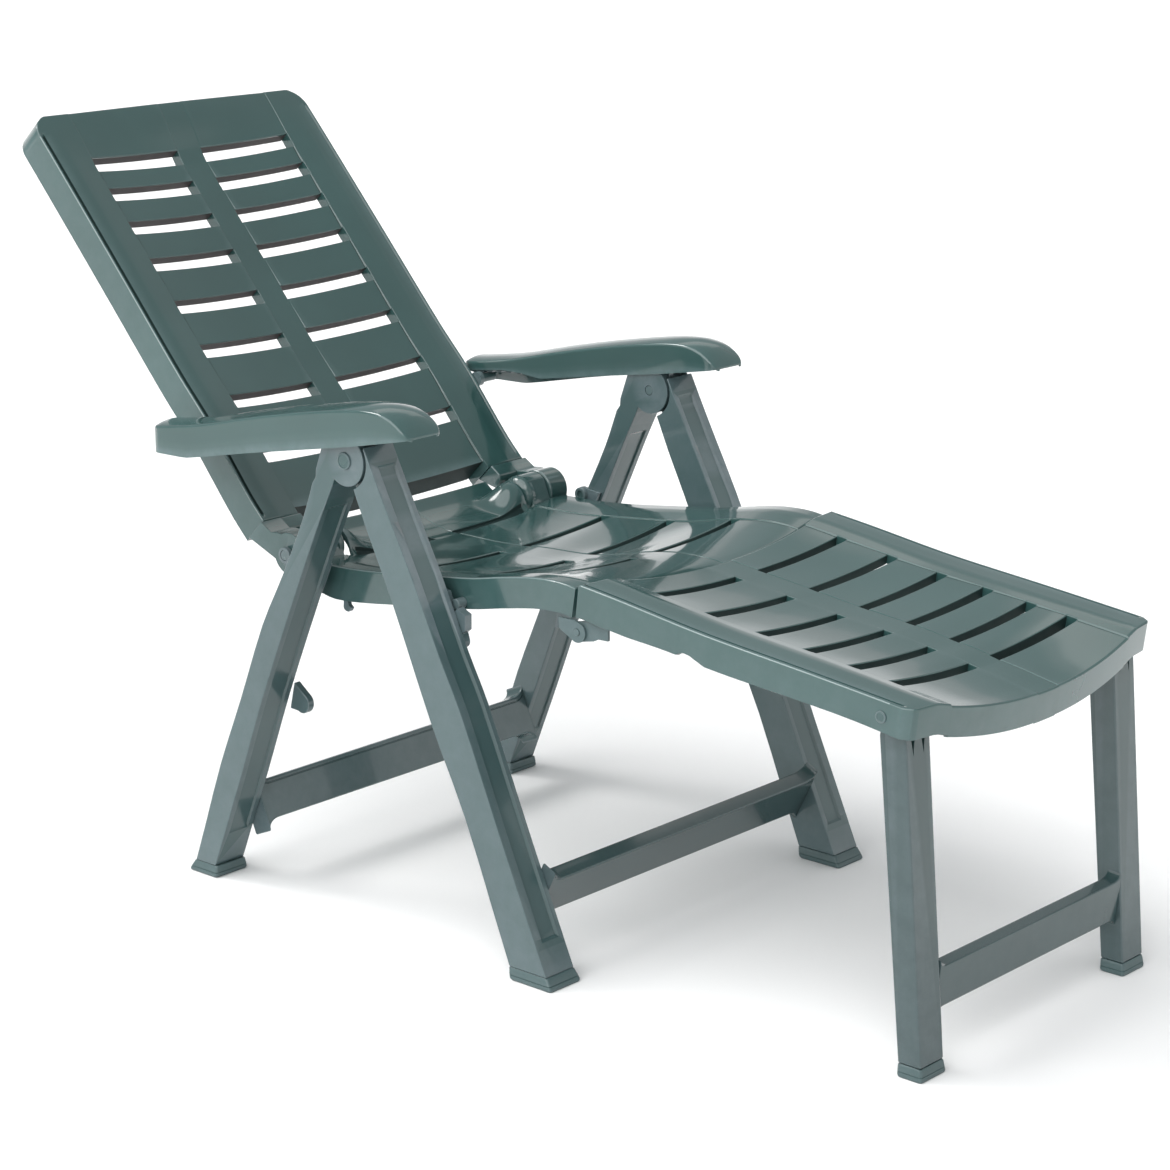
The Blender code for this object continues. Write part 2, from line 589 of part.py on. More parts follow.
def seat_skirt(x, s):
    y = seat_line.at(s).x
    if y > 0.2390 or (abs(x) < SLOT_OUT and y > 0.2):
        return 0.0100
    return interp(y, ((-0.180, 0.0330), (-0.060, 0.0340), (0.100, 0.0360), (0.200, 0.0390), (0.2385, 0.0330)))


seat = panel("seat_panel", seat_line, SEAT_W, seat_dish, seat_slots, seat_skirt, x_cols, s_rows,
             keep=lambda x, s: not (abs(x) > 0.1560 and s < s_tail), bow=seat_bow)
finish(seat, "panel", origin=HINGE)

for side, sx in SIDES:
    k = arc(HINGE, 0.0255, -110, 128, 26) + [(0.2388 - GAP - 0.0004 + 0.0010, 0.4040), (0.2388, 0.3840)]
    kn = prism("seat_hinge_knuckle_" + side, k, sx * 0.1690, sx * 0.2005)
    bore(kn, HINGE, PIN_R + PIN_PLAY, sx * 0.15, sx * 0.21)
    finish(kn, "panel", origin=HINGE)
    finish(rod("seat_peg_" + side, PEG, 0.0062, sx * (SEAT_W + GAP), sx * 0.2388, 24), "pin", origin=HINGE)
    # small hook under the seat
    hook = [(0.1900, 0.3745), (0.1905, 0.3620), (0.1860, 0.3570), (0.1800, 0.3580), (0.1775, 0.3625),
            (0.1815, 0.3650), (0.1840, 0.3745)]
    finish(prism("seat_hook_" + side, hook, sx * 0.2150, sx * 0.2212), "frame", origin=HINGE)
    # knee lug on the seat
    lug = ([(-0.1560, 0.4150), (-0.1570, 0.4020)] + arc(KNEE, 0.0120, -60, -180, 10) + arc(KNEE, 0.0120, 180, 130, 4)
           + [(-0.1790, 0.4150)])
    p = prism("seat_knee_lug_" + side, lug, sx * 0.2229, sx * 0.2255)
    bore(p, KNEE, 0.0040 + PIN_PLAY, sx * 0.20, sx * 0.23, 20)
    finish(p, "frame", origin=HINGE)

# ---- footrest --------------------------------------------------------------------------------
REST_LINE = [(-0.1885, 0.4580), (-0.2484, 0.4506), (-0.3609, 0.4350), (-0.4952, 0.4213), (-0.5598, 0.4145),
             (-0.6292, 0.4068), (-0.6370, 0.4058)]
rest_line = Line(REST_LINE)
REST_SLOT_Y = (-0.2570, -0.3310, -0.4010, -0.4650, -0.5240, -0.5780)
RL = rest_line.length


def rest_dish(x, s):
    y = rest_line.at(s).x
    d = interp(y, ((-0.637, 0.0270), (-0.590, 0.0205), (-0.540, 0.0165), (-0.460, 0.0140), (-0.330, 0.0145),
                   (-0.257, 0.0165), (-0.188, 0.0190)))
    return d * max(0.0, 1 - (x / 0.187) ** 2)


def rest_bow(x, s):
    y = rest_line.at(s).x
    k = max(0.0, 1 - (x / FOOT_W) ** 2)
    u = max(0.0, min(1.0, (y + 0.250) / 0.055))
    w = max(0.0, min(1.0, (-0.590 - y) / 0.045))
    return (-0.0150 * u * u * (3 - 2 * u) * k - 0.0190 * w * w * (3 - 2 * w) * k, 0.0)


rest_slots = [(SLOT_IN, SLOT_OUT, s_at(rest_line, y + 0.0135), s_at(rest_line, y)) for y in REST_SLOT_Y]
s_mid = [(a[3] + b[2]) / 2 for a, b in zip(rest_slots, rest_slots[1:])]
x_cols = edge_lines(FOOT_W) + [0.200, SLOT_OUT, 0.130, 0.092, 0.055, SLOT_IN, 0.0]
s_rows = ([0.0, 0.0005, 0.0018, 0.004, 0.016, 0.036] + [v for a, b, c, d in rest_slots for v in (c, d)] + s_mid
          + [RL - 0.040, RL - 0.026, RL - 0.016, RL - 0.010, RL - 0.004, RL - 0.0018, RL - 0.0005, RL])


def rest_skirt(x, s):
    y = rest_line.at(s).x
    d = interp(y, ((-0.6370, 0.0325), (-0.5606, 0.0310), (-0.3700, 0.0335), (-0.3610, 0.0310), (-0.3500, 0.0275),
                   (-0.3391, 0.0270), (-0.3293, 0.0325), (-0.2486, 0.0365), (-0.1885, 0.0360)))
    return d if abs(x) > SLOT_OUT or y < -0.3 else 0.0300


s_rows += [s_at(rest_line, y) for y in (-0.3290, -0.3400, -0.3500, -0.3620)]
s_rows = sorted(s_rows)
keep_rows = [s_rows[0]]
for v in s_rows[1:]:
    if v - keep_rows[-1] > 0.0004:
        keep_rows.append(v)
rest = panel("footrest_panel", rest_line, FOOT_W, rest_dish, rest_slots, rest_skirt, x_cols, keep_rows,
             bow=rest_bow, corner=(0.0, 0.014))
finish(rest, "panel", origin=KNEE)

for side, sx in SIDES:
    lug = (arc(KNEE, 0.0120, 60, -120, 12) + [(-0.2050, 0.3950), (-0.2120, 0.3985), (-0.2260, 0.3990), (-0.2260, 0.4170),
                                              (-0.2100, 0.4270), (-0.1970, 0.4270), (-0.1965, 0.4168)])
    p = prism("footrest_knee_lug_" + side, lug, sx * 0.2192, sx * 0.2226)
    upper = [(-0.2250, 0.4180), (-0.2105, 0.4262), (-0.1975, 0.4262), (-0.1972, 0.4180)]
    p = join(p, [prism("upper", upper, sx * 0.2215, sx * 0.2245)])
    bore(p, KNEE, 0.0040 + PIN_PLAY, sx * 0.20, sx * 0.23, 20)
    finish(p, "frame", origin=KNEE)
    finish(rod("knee_pin_" + side, KNEE, 0.0040, sx * 0.2194, sx * 0.2264, 20), "pin", origin=KNEE)
    # support leg pin: shaft inside, round head outside the skirt
    pin = rod("support_pin_" + side, SUPPORT, 0.0045, sx * 0.1770, sx * 0.2245, 22)
    finish(pin, "pin", origin=SUPPORT)
    finish(rod("support_pin_head_" + side, SUPPORT, 0.0065, sx * (FOOT_W + GAP), sx * 0.2300, 22), "pin", origin=SUPPORT)

# ---- support legs ----------------------------------------------------------------------------
SUP_IN, SUP_OUT = 0.1744, 0.2165
for side, sx in SIDES:
    z0 = FOOT_H + GAP
    k = math.tan(math.radians(LEAN_SUPPORT))
    pts = (arc(SUPPORT, 0.0078, -20, 100, 8)
           + [(-0.6120, 0.3985), (-0.6190, 0.3960), (-0.6231, 0.3666), (-0.6530, z0 + 0.0), (-0.6235, z0), (-0.5891, 0.3678)])
    leg = prism("support_leg_" + side, pts, sx * SUP_IN, sx * SUP_OUT)
    leg = bevel(leg, 0.0025, 1)
    bore(leg, SUPPORT, 0.0045 + PIN_PLAY, sx * 0.16, sx * 0.23, 22)
    finish(leg, "frame", origin=SUPPORT)
    foot("support_foot_" + side, -0.6540, -0.6255, SUP_IN, SUP_OUT, sx, -0.6530, -0.6235, 0.0018)
finish(bevel(stretcher("support_stretcher", (-0.6345, 0.0910), LEAN_SUPPORT, SUP_IN - GAP, 0.0180, 0.0240, 0.008), 0.002, 1),
       "frame", origin=SUPPORT)
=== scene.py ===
# Looks for the reclining sun lounger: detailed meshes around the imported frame, moulded-plastic
# materials, a pale studio and a camera.  Metres, +Z up, the sitter faces -Y.
import json
import math

import bmesh
import bpy
from mathutils import Matrix, Vector

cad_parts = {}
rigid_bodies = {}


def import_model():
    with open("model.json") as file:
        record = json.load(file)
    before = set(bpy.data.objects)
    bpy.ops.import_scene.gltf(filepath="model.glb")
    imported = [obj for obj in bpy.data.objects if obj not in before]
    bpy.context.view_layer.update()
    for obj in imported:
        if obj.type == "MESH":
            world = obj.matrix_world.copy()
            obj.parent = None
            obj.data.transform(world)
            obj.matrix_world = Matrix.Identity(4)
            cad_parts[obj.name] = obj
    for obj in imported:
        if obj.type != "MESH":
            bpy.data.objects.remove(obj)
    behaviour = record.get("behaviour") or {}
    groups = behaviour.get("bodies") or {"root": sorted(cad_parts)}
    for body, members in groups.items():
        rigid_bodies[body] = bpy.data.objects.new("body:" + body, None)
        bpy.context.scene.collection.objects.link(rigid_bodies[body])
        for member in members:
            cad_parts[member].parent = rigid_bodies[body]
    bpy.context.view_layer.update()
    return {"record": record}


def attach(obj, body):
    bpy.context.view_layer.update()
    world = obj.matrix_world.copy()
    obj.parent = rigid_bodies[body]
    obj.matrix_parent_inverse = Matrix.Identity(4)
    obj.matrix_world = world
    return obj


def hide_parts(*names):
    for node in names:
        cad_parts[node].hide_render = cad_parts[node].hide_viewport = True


for old in list(bpy.data.objects):
    bpy.data.objects.remove(old, do_unlink=True)

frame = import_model()
NODE_BODY = {n: b for b, ns in frame["record"]["behaviour"]["bodies"].items() for n in ns}

# ---- dimensions shared with the frame ---------------------------------------------------------
Y_SHIFT = -0.0516
GAP = 0.0003
PIVOT = (0.112, 0.562)
HINGE = (0.268, 0.415)
KNEE = (-0.183, 0.402)
SUPPORT = (-0.5997, 0.3922)
LEG_IN, LEG_OUT = 0.2428, 0.2900
ARM_IN, ARM_OUT = 0.2397, 0.3000
SEAT_W, BACK_W, FOOT_W = 0.2255, 0.2300, 0.2285
SLOT_OUT, SLOT_IN = 0.168, 0.020
WALL = 0.0034
PIN_R, PIN_PLAY = 0.0060, 0.0003
FOOT_H = 0.0150
STUD = (0.4000, 0.5400)
PEG = (-0.0100, 0.4050)
SIDES = (("right", -1.0), ("left", 1.0))


# ---- materials --------------------------------------------------------------------------------
def node(nt, kind, x, y, **values):
    n = nt.nodes.new(kind)
    n.location = (x, y)
    for k, v in values.items():
        setattr(n, k, v)
    return n


def plastic(name, deep, mid, light, rough, grain, grain_size, coat, bump, wear):
    """Moulded plastic: slow colour drift, faint flow streaks, fine grain, dulled patches, fine
    scratches and paler, worn edges."""
    m = bpy.data.materials.new(name)
    m.use_nodes = True
    nt = m.node_tree
    nt.nodes.clear()
    out = node(nt, "ShaderNodeOutputMaterial", 1200, 0)
    bs = node(nt, "ShaderNodeBsdfPrincipled", 900, 0)
    nt.links.new(bs.outputs[0], out.inputs[0])
    co = node(nt, "ShaderNodeTexCoord", -1400, 0)

    def noise(scale, detail, rgh, y, stretch=None):
        n = node(nt, "ShaderNodeTexNoise", -900, y)
        n.inputs["Scale"].default_value = scale
        n.inputs["Detail"].default_value = detail
        n.inputs["Roughness"].default_value = rgh
        if stretch:
            mp = node(nt, "ShaderNodeMapping", -1150, y)
            mp.inputs["Scale"].default_value = stretch
            nt.links.new(co.outputs["Object"], mp.inputs[0])
            nt.links.new(mp.outputs[0], n.inputs["Vector"])
        else:
            nt.links.new(co.outputs["Object"], n.inputs["Vector"])
        return n

    def ramp(src, stops, x, y):
        r = node(nt, "ShaderNodeValToRGB", x, y)
        r.color_ramp.elements[0].position = stops[0][0]
        r.color_ramp.elements[0].color = stops[0][1]
        r.color_ramp.elements[1].position = stops[-1][0]
        r.color_ramp.elements[1].color = stops[-1][1]
        for p, c in stops[1:-1]:
            e = r.color_ramp.elements.new(p)
            e.color = c
        nt.links.new(src, r.inputs[0])
        return r

    def grey(v):
        return (v, v, v, 1.0)

    drift = noise(3.1, 3.0, 0.55, 500)
    base = ramp(drift.outputs["Fac"], [(0.30, (*deep, 1)), (0.52, (*mid, 1)), (0.74, (*light, 1))], -600, 500)
    streak = noise(5.0, 4.0, 0.6, 250, (1.0, 0.16, 1.4))
    sr = ramp(streak.outputs["Fac"], [(0.38, grey(0.955)), (0.66, grey(1.035))], -600, 250)
    mix = node(nt, "ShaderNodeMix", -250, 400, data_type="RGBA", blend_type="MULTIPLY")
    mix.inputs[0].default_value = 1.0
    nt.links.new(base.outputs[0], mix.inputs[6])
    nt.links.new(sr.outputs[0], mix.inputs[7])
    # worn, paler edges
    geo = node(nt, "ShaderNodeNewGeometry", -900, -900)
    edge = ramp(geo.outputs["Pointiness"], [(0.510, grey(0.0)), (0.570, grey(1.0))], -600, -900)
    patch = noise(38.0, 5.0, 0.65, -700)
    pr = ramp(patch.outputs["Fac"], [(0.35, grey(0.55)), (0.68, grey(1.0))], -600, -700)
    worn = node(nt, "ShaderNodeMath", -250, -800, operation="MULTIPLY")
    nt.links.new(edge.outputs[0], worn.inputs[0])
    nt.links.new(pr.outputs[0], worn.inputs[1])
    worn2 = node(nt, "ShaderNodeMath", -80, -800, operation="MULTIPLY")
    worn2.inputs[1].default_value = wear
    nt.links.new(worn.outputs[0], worn2.inputs[0])
    mix2 = node(nt, "ShaderNodeMix", 150, 350, data_type="RGBA")
    nt.links.new(worn2.outputs[0], mix2.inputs[0])
    nt.links.new(mix.outputs[2], mix2.inputs[6])
    mix2.inputs[7].default_value = (min(1.0, light[0] * 3.2 + 0.03), min(1.0, light[1] * 2.1 + 0.03), min(1.0, light[2] * 2.3 + 0.03), 1)
    # fine dust specks
    speck = noise(420.0, 2.0, 0.5, 0)
    sp = ramp(speck.outputs["Fac"], [(0.78, grey(0.0)), (0.86, grey(0.06))], -600, 0)
    mix3 = node(nt, "ShaderNodeMix", 400, 300, data_type="RGBA")
    nt.links.new(sp.outputs[0], mix3.inputs[0])
    nt.links.new(mix2.outputs[2], mix3.inputs[6])
    mix3.inputs[7].default_value = (light[0] + 0.05, light[1] + 0.06, light[2] + 0.055, 1)
    nt.links.new(mix3.outputs[2], bs.inputs["Base Color"])
    # roughness: smoother and duller patches with fine rub marks
    r1 = noise(9.0, 6.0, 0.62, -150)
    rr = ramp(r1.outputs["Fac"], [(0.32, grey(rough * 0.88)), (0.55, grey(rough)), (0.75, grey(min(1.0, rough * 1.22)))], -600, -150)
    rub = noise(60.0, 3.0, 0.7, -350, (1.0, 0.06, 0.5))
    rb = ramp(rub.outputs["Fac"], [(0.56, grey(0.0)), (0.76, grey(0.025))], -600, -350)
    radd = node(nt, "ShaderNodeMath", -250, -250, operation="ADD", use_clamp=True)
    nt.links.new(rr.outputs[0], radd.inputs[0])
    nt.links.new(rb.outputs[0], radd.inputs[1])
    nt.links.new(radd.outputs[0], bs.inputs["Roughness"])
    # surface: slow waviness of the moulding and a fine grain
    wave = noise(16.0, 2.0, 0.4, -1150)
    fine = noise(grain_size, 3.0, 0.6, -1350)
    b1 = node(nt, "ShaderNodeBump", 350, -500)
    b1.inputs["Strength"].default_value = 1.0
    b1.inputs["Distance"].default_value = bump
    nt.links.new(wave.outputs["Fac"], b1.inputs["Height"])
    b2 = node(nt, "ShaderNodeBump", 600, -500)
    b2.inputs["Strength"].default_value = 1.0
    b2.inputs["Distance"].default_value = grain
    nt.links.new(fine.outputs["Fac"], b2.inputs["Height"])
    nt.links.new(b1.outputs[0], b2.inputs["Normal"])
    nt.links.new(b2.outputs[0], bs.inputs["Normal"])
    bs.inputs["IOR"].default_value = 1.50
    bs.inputs["Coat Weight"].default_value = coat
    bs.inputs["Coat Roughness"].default_value = 0.045
    bs.inputs["Coat IOR"].default_value = 1.45
    return m


MATS = {
    "panel": plastic("panel_plastic_look", (0.0245, 0.0640, 0.0610), (0.0280, 0.0720, 0.0690), (0.0330, 0.0815, 0.0785),
                     0.140, 0.000004, 900.0, 0.65, 0.00014, 0.45),
    "frame": plastic("frame_plastic_look", (0.0410, 0.0780, 0.0805), (0.0460, 0.0870, 0.0895), (0.0520, 0.0960, 0.0990),
                     0.210, 0.000010, 1100.0, 0.45, 0.00014, 0.50),
    "leg": plastic("leg_plastic_look", (0.0240, 0.0500, 0.0510), (0.0270, 0.0560, 0.0570), (0.0310, 0.0630, 0.0640),
                   0.210, 0.000010, 1100.0, 0.40, 0.00014, 0.50),
    "pin": plastic("pin_plastic_look", (0.0400, 0.0790, 0.0790), (0.0450, 0.0880, 0.0880), (0.0510, 0.0970, 0.0970),
                   0.280, 0.000015, 1300.0, 0.15, 0.00010, 0.50),
    "foot": plastic("foot_plastic_look", (0.0340, 0.0700, 0.0700), (0.0380, 0.0780, 0.0780), (0.0430, 0.0860, 0.0860),
                    0.380, 0.000040, 800.0, 0.05, 0.00010, 0.40),
    # painted highlight: a much paler green for a narrow band just inside each slatted panel's rounded long border,
    # standing in for the light line that edge catches
    "rim": plastic("rim_painted_highlight_look", (0.1150, 0.1750, 0.1720), (0.1300, 0.1950, 0.1920), (0.1500, 0.2150, 0.2120),
                   0.200, 0.000006, 900.0, 0.60, 0.00010, 0.40),
    # painted light: a paler warm grey for the backrest slots' upper walls, standing in for the light those walls catch
    "lip_back": plastic("slot_wall_painted_light_look", (0.0450, 0.0420, 0.0420), (0.0520, 0.0480, 0.0478), (0.0600, 0.0555, 0.0550),
                        0.600, 0.000060, 700.0, 0.0, 0.00010, 0.05),
    # painted shade: a dark, dull green for the slot walls of seat and footrest and for the grooves, creases, wells and
    # end faces marked on the slatted panels
    "lip_seat": plastic("dark_painted_shade_look", (0.0100, 0.0220, 0.0215), (0.0120, 0.0270, 0.0260), (0.0150, 0.0330, 0.0320),
                        0.600, 0.000060, 700.0, 0.0, 0.00010, 0.05),
}
MATS["lip_back"].node_tree.nodes["Principled BSDF"].inputs["Specular IOR Level"].default_value = 0.15
MATS["lip_seat"].node_tree.nodes["Principled BSDF"].inputs["Specular IOR Level"].default_value = 0.12


# ---- mesh helpers -----------------------------------------------------------------------------
def obj_from(name, bm, merge=1e-7, recalc=True, shift=True):
    bmesh.ops.remove_doubles(bm, verts=bm.verts, dist=merge)
    if recalc:
        bmesh.ops.recalc_face_normals(bm, faces=bm.faces)
    if shift:
        for v in bm.verts:
            v.co.y += Y_SHIFT
    me = bpy.data.meshes.new(name)
    bm.to_mesh(me)
    bm.free()
    obj = bpy.data.objects.new(name, me)
    bpy.context.scene.collection.objects.link(obj)
    return obj


def bake(obj):
    bpy.context.view_layer.update()
    graph = bpy.context.evaluated_depsgraph_get()
    me = bpy.data.meshes.new_from_object(obj.evaluated_get(graph))
    obj.modifiers.clear()
    obj.data = me
    return obj


def bevel(obj, width, seg=3, angle=38.0, profile=0.5):
    m = obj.modifiers.new("bevel", "BEVEL")
    m.width = width
    m.segments = seg
    m.limit_method = "ANGLE"
    m.angle_limit = math.radians(angle)
    m.profile = profile
    return bake(obj)


def join(base, others, op="UNION"):
    for o in others:
        m = base.modifiers.new("bool", "BOOLEAN")
        m.operation = op
        m.solver = "EXACT"
        m.object = o
    bake(base)
    for o in others:
        bpy.data.objects.remove(o, do_unlink=True)
    return base


def prism(name, pts, x0, x1):
    bm = bmesh.new()
    a = [bm.verts.new((x0, y, z)) for y, z in pts]
    b = [bm.verts.new((x1, y, z)) for y, z in pts]
    n = len(pts)
    bm.faces.new(a)
    bm.faces.new(b[::-1])
    for i in range(n):
        bm.faces.new((a[i], a[(i + 1) % n], b[(i + 1) % n], b[i]))
    return obj_from(name, bm)


def arc(c, r, a0, a1, n=12):
    return [(c[0] + r * math.cos(math.radians(a0 + (a1 - a0) * i / n)),
             c[1] + r * math.sin(math.radians(a0 + (a1 - a0) * i / n))) for i in range(n + 1)]


def rod(name, c, r, x0, x1, n=48):
    return prism(name, arc(c, r, 0, 360, n)[:-1], x0, x1)


def lathe(name, c, profile, n=48):
    """A turned piece about the X axis: profile is (x, r) from one end to the other."""
    bm = bmesh.new()
    rows = []
    for x, r in profile:
        rows.append([bm.verts.new((x, c[0] + r * math.cos(2 * math.pi * i / n), c[1] + r * math.sin(2 * math.pi * i / n)))
                     for i in range(n)])
    bm.faces.new(rows[0])
    bm.faces.new(rows[-1][::-1])
    for lo, hi in zip(rows, rows[1:]):
        for i in range(n):
            bm.faces.new((lo[i], lo[(i + 1) % n], hi[(i + 1) % n], hi[i]))
    return obj_from(name, bm)


def bore(obj, c, r, x0, x1, n=40):
    return join(obj, [rod("cutter", c, r, x0, x1, n)], "DIFFERENCE")


def piece(obj, cad, mat, smooth=40.0, weighted=True, lip=None):
    """Names the piece, gives it its plastic, makes it ride on the body of the CAD node it stands for."""
    nodes = [cad] if isinstance(cad, str) else list(cad)
    obj.name = "vis_" + nodes[0]
    obj.data.name = obj.name
    me = obj.data
    kinds = [p.material_index for p in me.polygons]
    me.materials.clear()
    # with a lip the faces keep their kinds: 1 slot walls (painted light or painted shade), 2 painted shade, 3 painted
    # rim highlight
    for k in (mat, lip, "lip_seat", "rim") if lip else (mat,):
        me.materials.append(MATS[k])
    for p, k in zip(me.polygons, kinds):
        p.use_smooth = True
        p.material_index = k if lip else 0
    me.set_sharp_from_angle(angle=math.radians(smooth))
    if weighted:
        w = obj.modifiers.new("normals", "WEIGHTED_NORMAL")
        w.keep_sharp = True
        w.weight = 80
    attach(obj, NODE_BODY[nodes[0]])
    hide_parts(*nodes)
    return obj


class Line:
    """A smooth line through (y, z) points, by its length."""

    def __init__(self, pts):
        self.p = [Vector(p) for p in pts]
        self.s = [0.0]
        for a, b in zip(self.p, self.p[1:]):
            self.s.append(self.s[-1] + (b - a).length)
        self.length = self.s[-1]
        n = len(self.p)
        self.t = []
        for i in range(n):
            lo, hi = max(0, i - 1), min(n - 1, i + 1)
            self.t.append((self.p[hi] - self.p[lo]) / (self.s[hi] - self.s[lo]))

    def at(self, s):
        if s < 0.0:
            return self.p[0] + self.t[0] * s
        if s > self.length:
            return self.p[-1] + self.t[-1] * (s - self.length)
        i = max(k for k in range(len(self.s) - 1) if self.s[k] <= s + 1e-12)
        h = self.s[i + 1] - self.s[i]
        u = (s - self.s[i]) / h
        u2, u3 = u * u, u * u * u
        return (self.p[i] * (2 * u3 - 3 * u2 + 1) + self.t[i] * h * (u3 - 2 * u2 + u)
                + self.p[i + 1] * (3 * u2 - 2 * u3) + self.t[i + 1] * h * (u3 - u2))

    def down(self, s):
        s = min(max(s, 0.0), self.length)
        a, b = self.at(max(0.0, s - 0.004)), self.at(min(self.length, s + 0.004))
        d = (b - a).normalized()
        return Vector((-d.y, d.x)) if d.x < 0 else Vector((d.y, -d.x))


def interp(x, table):
    if x <= table[0][0]:
        return table[0][1]
    for (a, fa), (b, fb) in zip(table, table[1:]):
        if x <= b:
            u = (x - a) / (b - a)
            u = u * u * (3 - 2 * u)
            return fa + (fb - fa) * u
    return table[-1][1]


def linear(x, table):
    if x <= table[0][0]:
        return table[0][1] + (x - table[0][0])
    for (a, fa), (b, fb) in zip(table, table[1:]):
        if x <= b:
            return fa + (fb - fa) * (x - a) / (b - a)
    return table[-1][1] + (x - table[-1][0])


def rounding(d, r):
    return 0.0 if d >= r else r - math.sqrt(max(0.0, r * r - (r - max(d, 0.0)) ** 2))


def straight(x, table):
    for (a, fa), (b, fb) in zip(table, table[1:]):
        if x <= b:
            break
    return fa + (fb - fa) * min(1.0, max(0.0, (x - a) / (b - a)))


def ease(u):
    u = min(1.0, max(0.0, u))
    return u * u * (3 - 2 * u)


def filled(lines, step):
    """Sorted lines with even ones added where two are further apart than step."""
    lines = sorted(lines)
    keep = [lines[0]]
    for v in lines[1:]:
        if v - keep[-1] > 0.00012:
            keep.append(v)
    out = [keep[0]]
    for v in keep[1:]:
        n = max(1, math.ceil((v - out[-1]) / step - 1e-6))
        a = out[-1]
        out += [a + (v - a) * k / n for k in range(1, n + 1)]
    return out


SOFT = (0.0, 0.03, 0.12, 0.28, 0.50, 0.75, 1.0)   # shares of a radius at which a rounded edge has lines


def slat_panel(name, line, half_w, dish, slots, skirt, relief, x_marks, s_marks, cuts=(), corner=(0.0, 0.0),
               bow=None, lip=0.0085, edge_r=0.004, slot_r=0.0013, x_push=(), s_push=(), step=0.011, painted_shade_end=False, wells=(), painted_shade_strips=()):
    """A dished, slotted shell with a wall thickness.  The outer face is a grid over the line and
    the width; it rolls over at its border and at each slot; the inner face is the same grid, moved
    away from every border by the wall, so the wall is even and closed."""
    L = line.length
    xl = [half_w - edge_r * k for k in SOFT] + [0.0] + list(x_marks)
    for e, sg in ((SLOT_OUT, 1), (SLOT_IN, -1)):
        xl += [e + sg * slot_r * k for k in SOFT]
    xs_half = filled([v for v in xl if v >= 0], step)
    xs = [-v for v in reversed(xs_half) if v > 1e-9] + xs_half
    sl = [edge_r * k for k in SOFT] + [L - edge_r * k for k in SOFT] + list(s_marks)
    for a, b, c, d in slots:
        sl += [c - slot_r * k for k in SOFT] + [d + slot_r * k for k in SOFT]
    for a, b, c, d in wells:
        sl += [c, c + 0.001, d - 0.001, d]
        xl += [a, a + 0.001, b - 0.001, b]
    ss = filled([v for v in sl if 0 <= v <= L], step)
    snap = lambda v, lst: min(lst, key=lambda q: abs(q - v))
    slots = [(snap(a, xs_half), snap(b, xs_half), snap(c, ss), snap(d, ss)) for a, b, c, d in slots]

    x_map = sorted([(0.0, 0.0), (SLOT_IN, SLOT_IN - WALL), (SLOT_IN + 0.03, SLOT_IN + 0.03), (SLOT_OUT - 0.03, SLOT_OUT - 0.03),
                    (SLOT_OUT, SLOT_OUT + WALL), (SLOT_OUT + 0.014, SLOT_OUT + 0.014), (half_w, half_w - WALL)] + list(x_push))
    marks = sorted({(c, c - WALL) for a, b, c, d in slots} | {(d, d + WALL) for a, b, c, d in slots}
                   | {(0.0, WALL), (L, L - WALL)} | set(s_push))
    s_map = list(marks)

    def place(x, s, inner):
        wall = WALL if inner else 0.0
        ax = abs(x)
        if inner:
            ax = linear(ax, x_map)
            s = linear(s, s_map)
        hw, full = half_w - wall, half_w - wall
        for end, rad in ((wall, corner[0]), (L - wall, corner[1])):
            d = abs(s - end)
            r = rad - wall
            if rad and d < r:
                hw = min(hw, full - r + math.sqrt(max(0.0, r * r - (r - d) ** 2)))
        if ax > SLOT_OUT:
            ax2 = SLOT_OUT + (ax - SLOT_OUT) * (hw - SLOT_OUT) / (full - SLOT_OUT)
        else:
            ax2 = ax
        q = line.at(s)
        n = line.down(s)
        off = dish(ax2, s)
        if inner:
            off += wall + 0.0004
        else:
            edge = min(half_w - ax, s, L - s)
            off += rounding(edge, edge_r)
            near = 1.0
            for a, b, c, d in slots:
                dx = max(a - ax, 0.0, ax - b)
                ds = max(c - s, 0.0, s - d)
                if dx < slot_r and ds < slot_r:
                    near = min(near, math.hypot(dx, ds))
            off += max(rounding(near, slot_r), 0.0) + relief(ax, s)
            for a, b, c, d in wells:
                off += 0.0028 * ease(min(ax - a, b - ax, s - c, d - s) / 0.001)
        q = q + n * off
        sh = bow(ax2, s) if bow else (0.0, 0.0)
        return Vector((math.copysign(ax2, x), q.x + sh[0], q.y + sh[1])), n

    def gone(cx, cs):
        return (any(a < abs(cx) < b and c < cs < d for a, b, c, d in slots)
                or any(a < abs(cx) < b and c < cs < d for a, b, c, d in cuts))

    bm = bmesh.new()
    cells = [(i, j) for i in range(len(xs) - 1) for j in range(len(ss) - 1)
             if not gone((xs[i] + xs[i + 1]) / 2, (ss[j] + ss[j + 1]) / 2)]
    used = set()
    for i, j in cells:
        used |= {(i, j), (i + 1, j), (i + 1, j + 1), (i, j + 1)}
    top, low, nrm = {}, {}, {}
    for i, j in used:
        co, n = place(xs[i], ss[j], False)
        ci, _ = place(xs[i], ss[j], True)
        top[i, j], low[i, j], nrm[i, j] = bm.verts.new(co), bm.verts.new(ci), n
    count = {}
    for i, j in cells:
        q = [(i, j), (i + 1, j), (i + 1, j + 1), (i, j + 1)]
        face = bm.faces.new([top[k] for k in q])
        cx, cs = abs(xs[i] + xs[i + 1]) / 2, (ss[j] + ss[j + 1]) / 2
        # painted shade: cells in the wells and in the listed strips along the rim groove and the slot crease take the
        # dark colour (material 2)
        if (any(a < cx < b and c < cs < d for a, b, c, d in wells)
                or any(a < cx < b and c < cs < d for a, b, c, d in painted_shade_strips)):
            face.material_index = 2
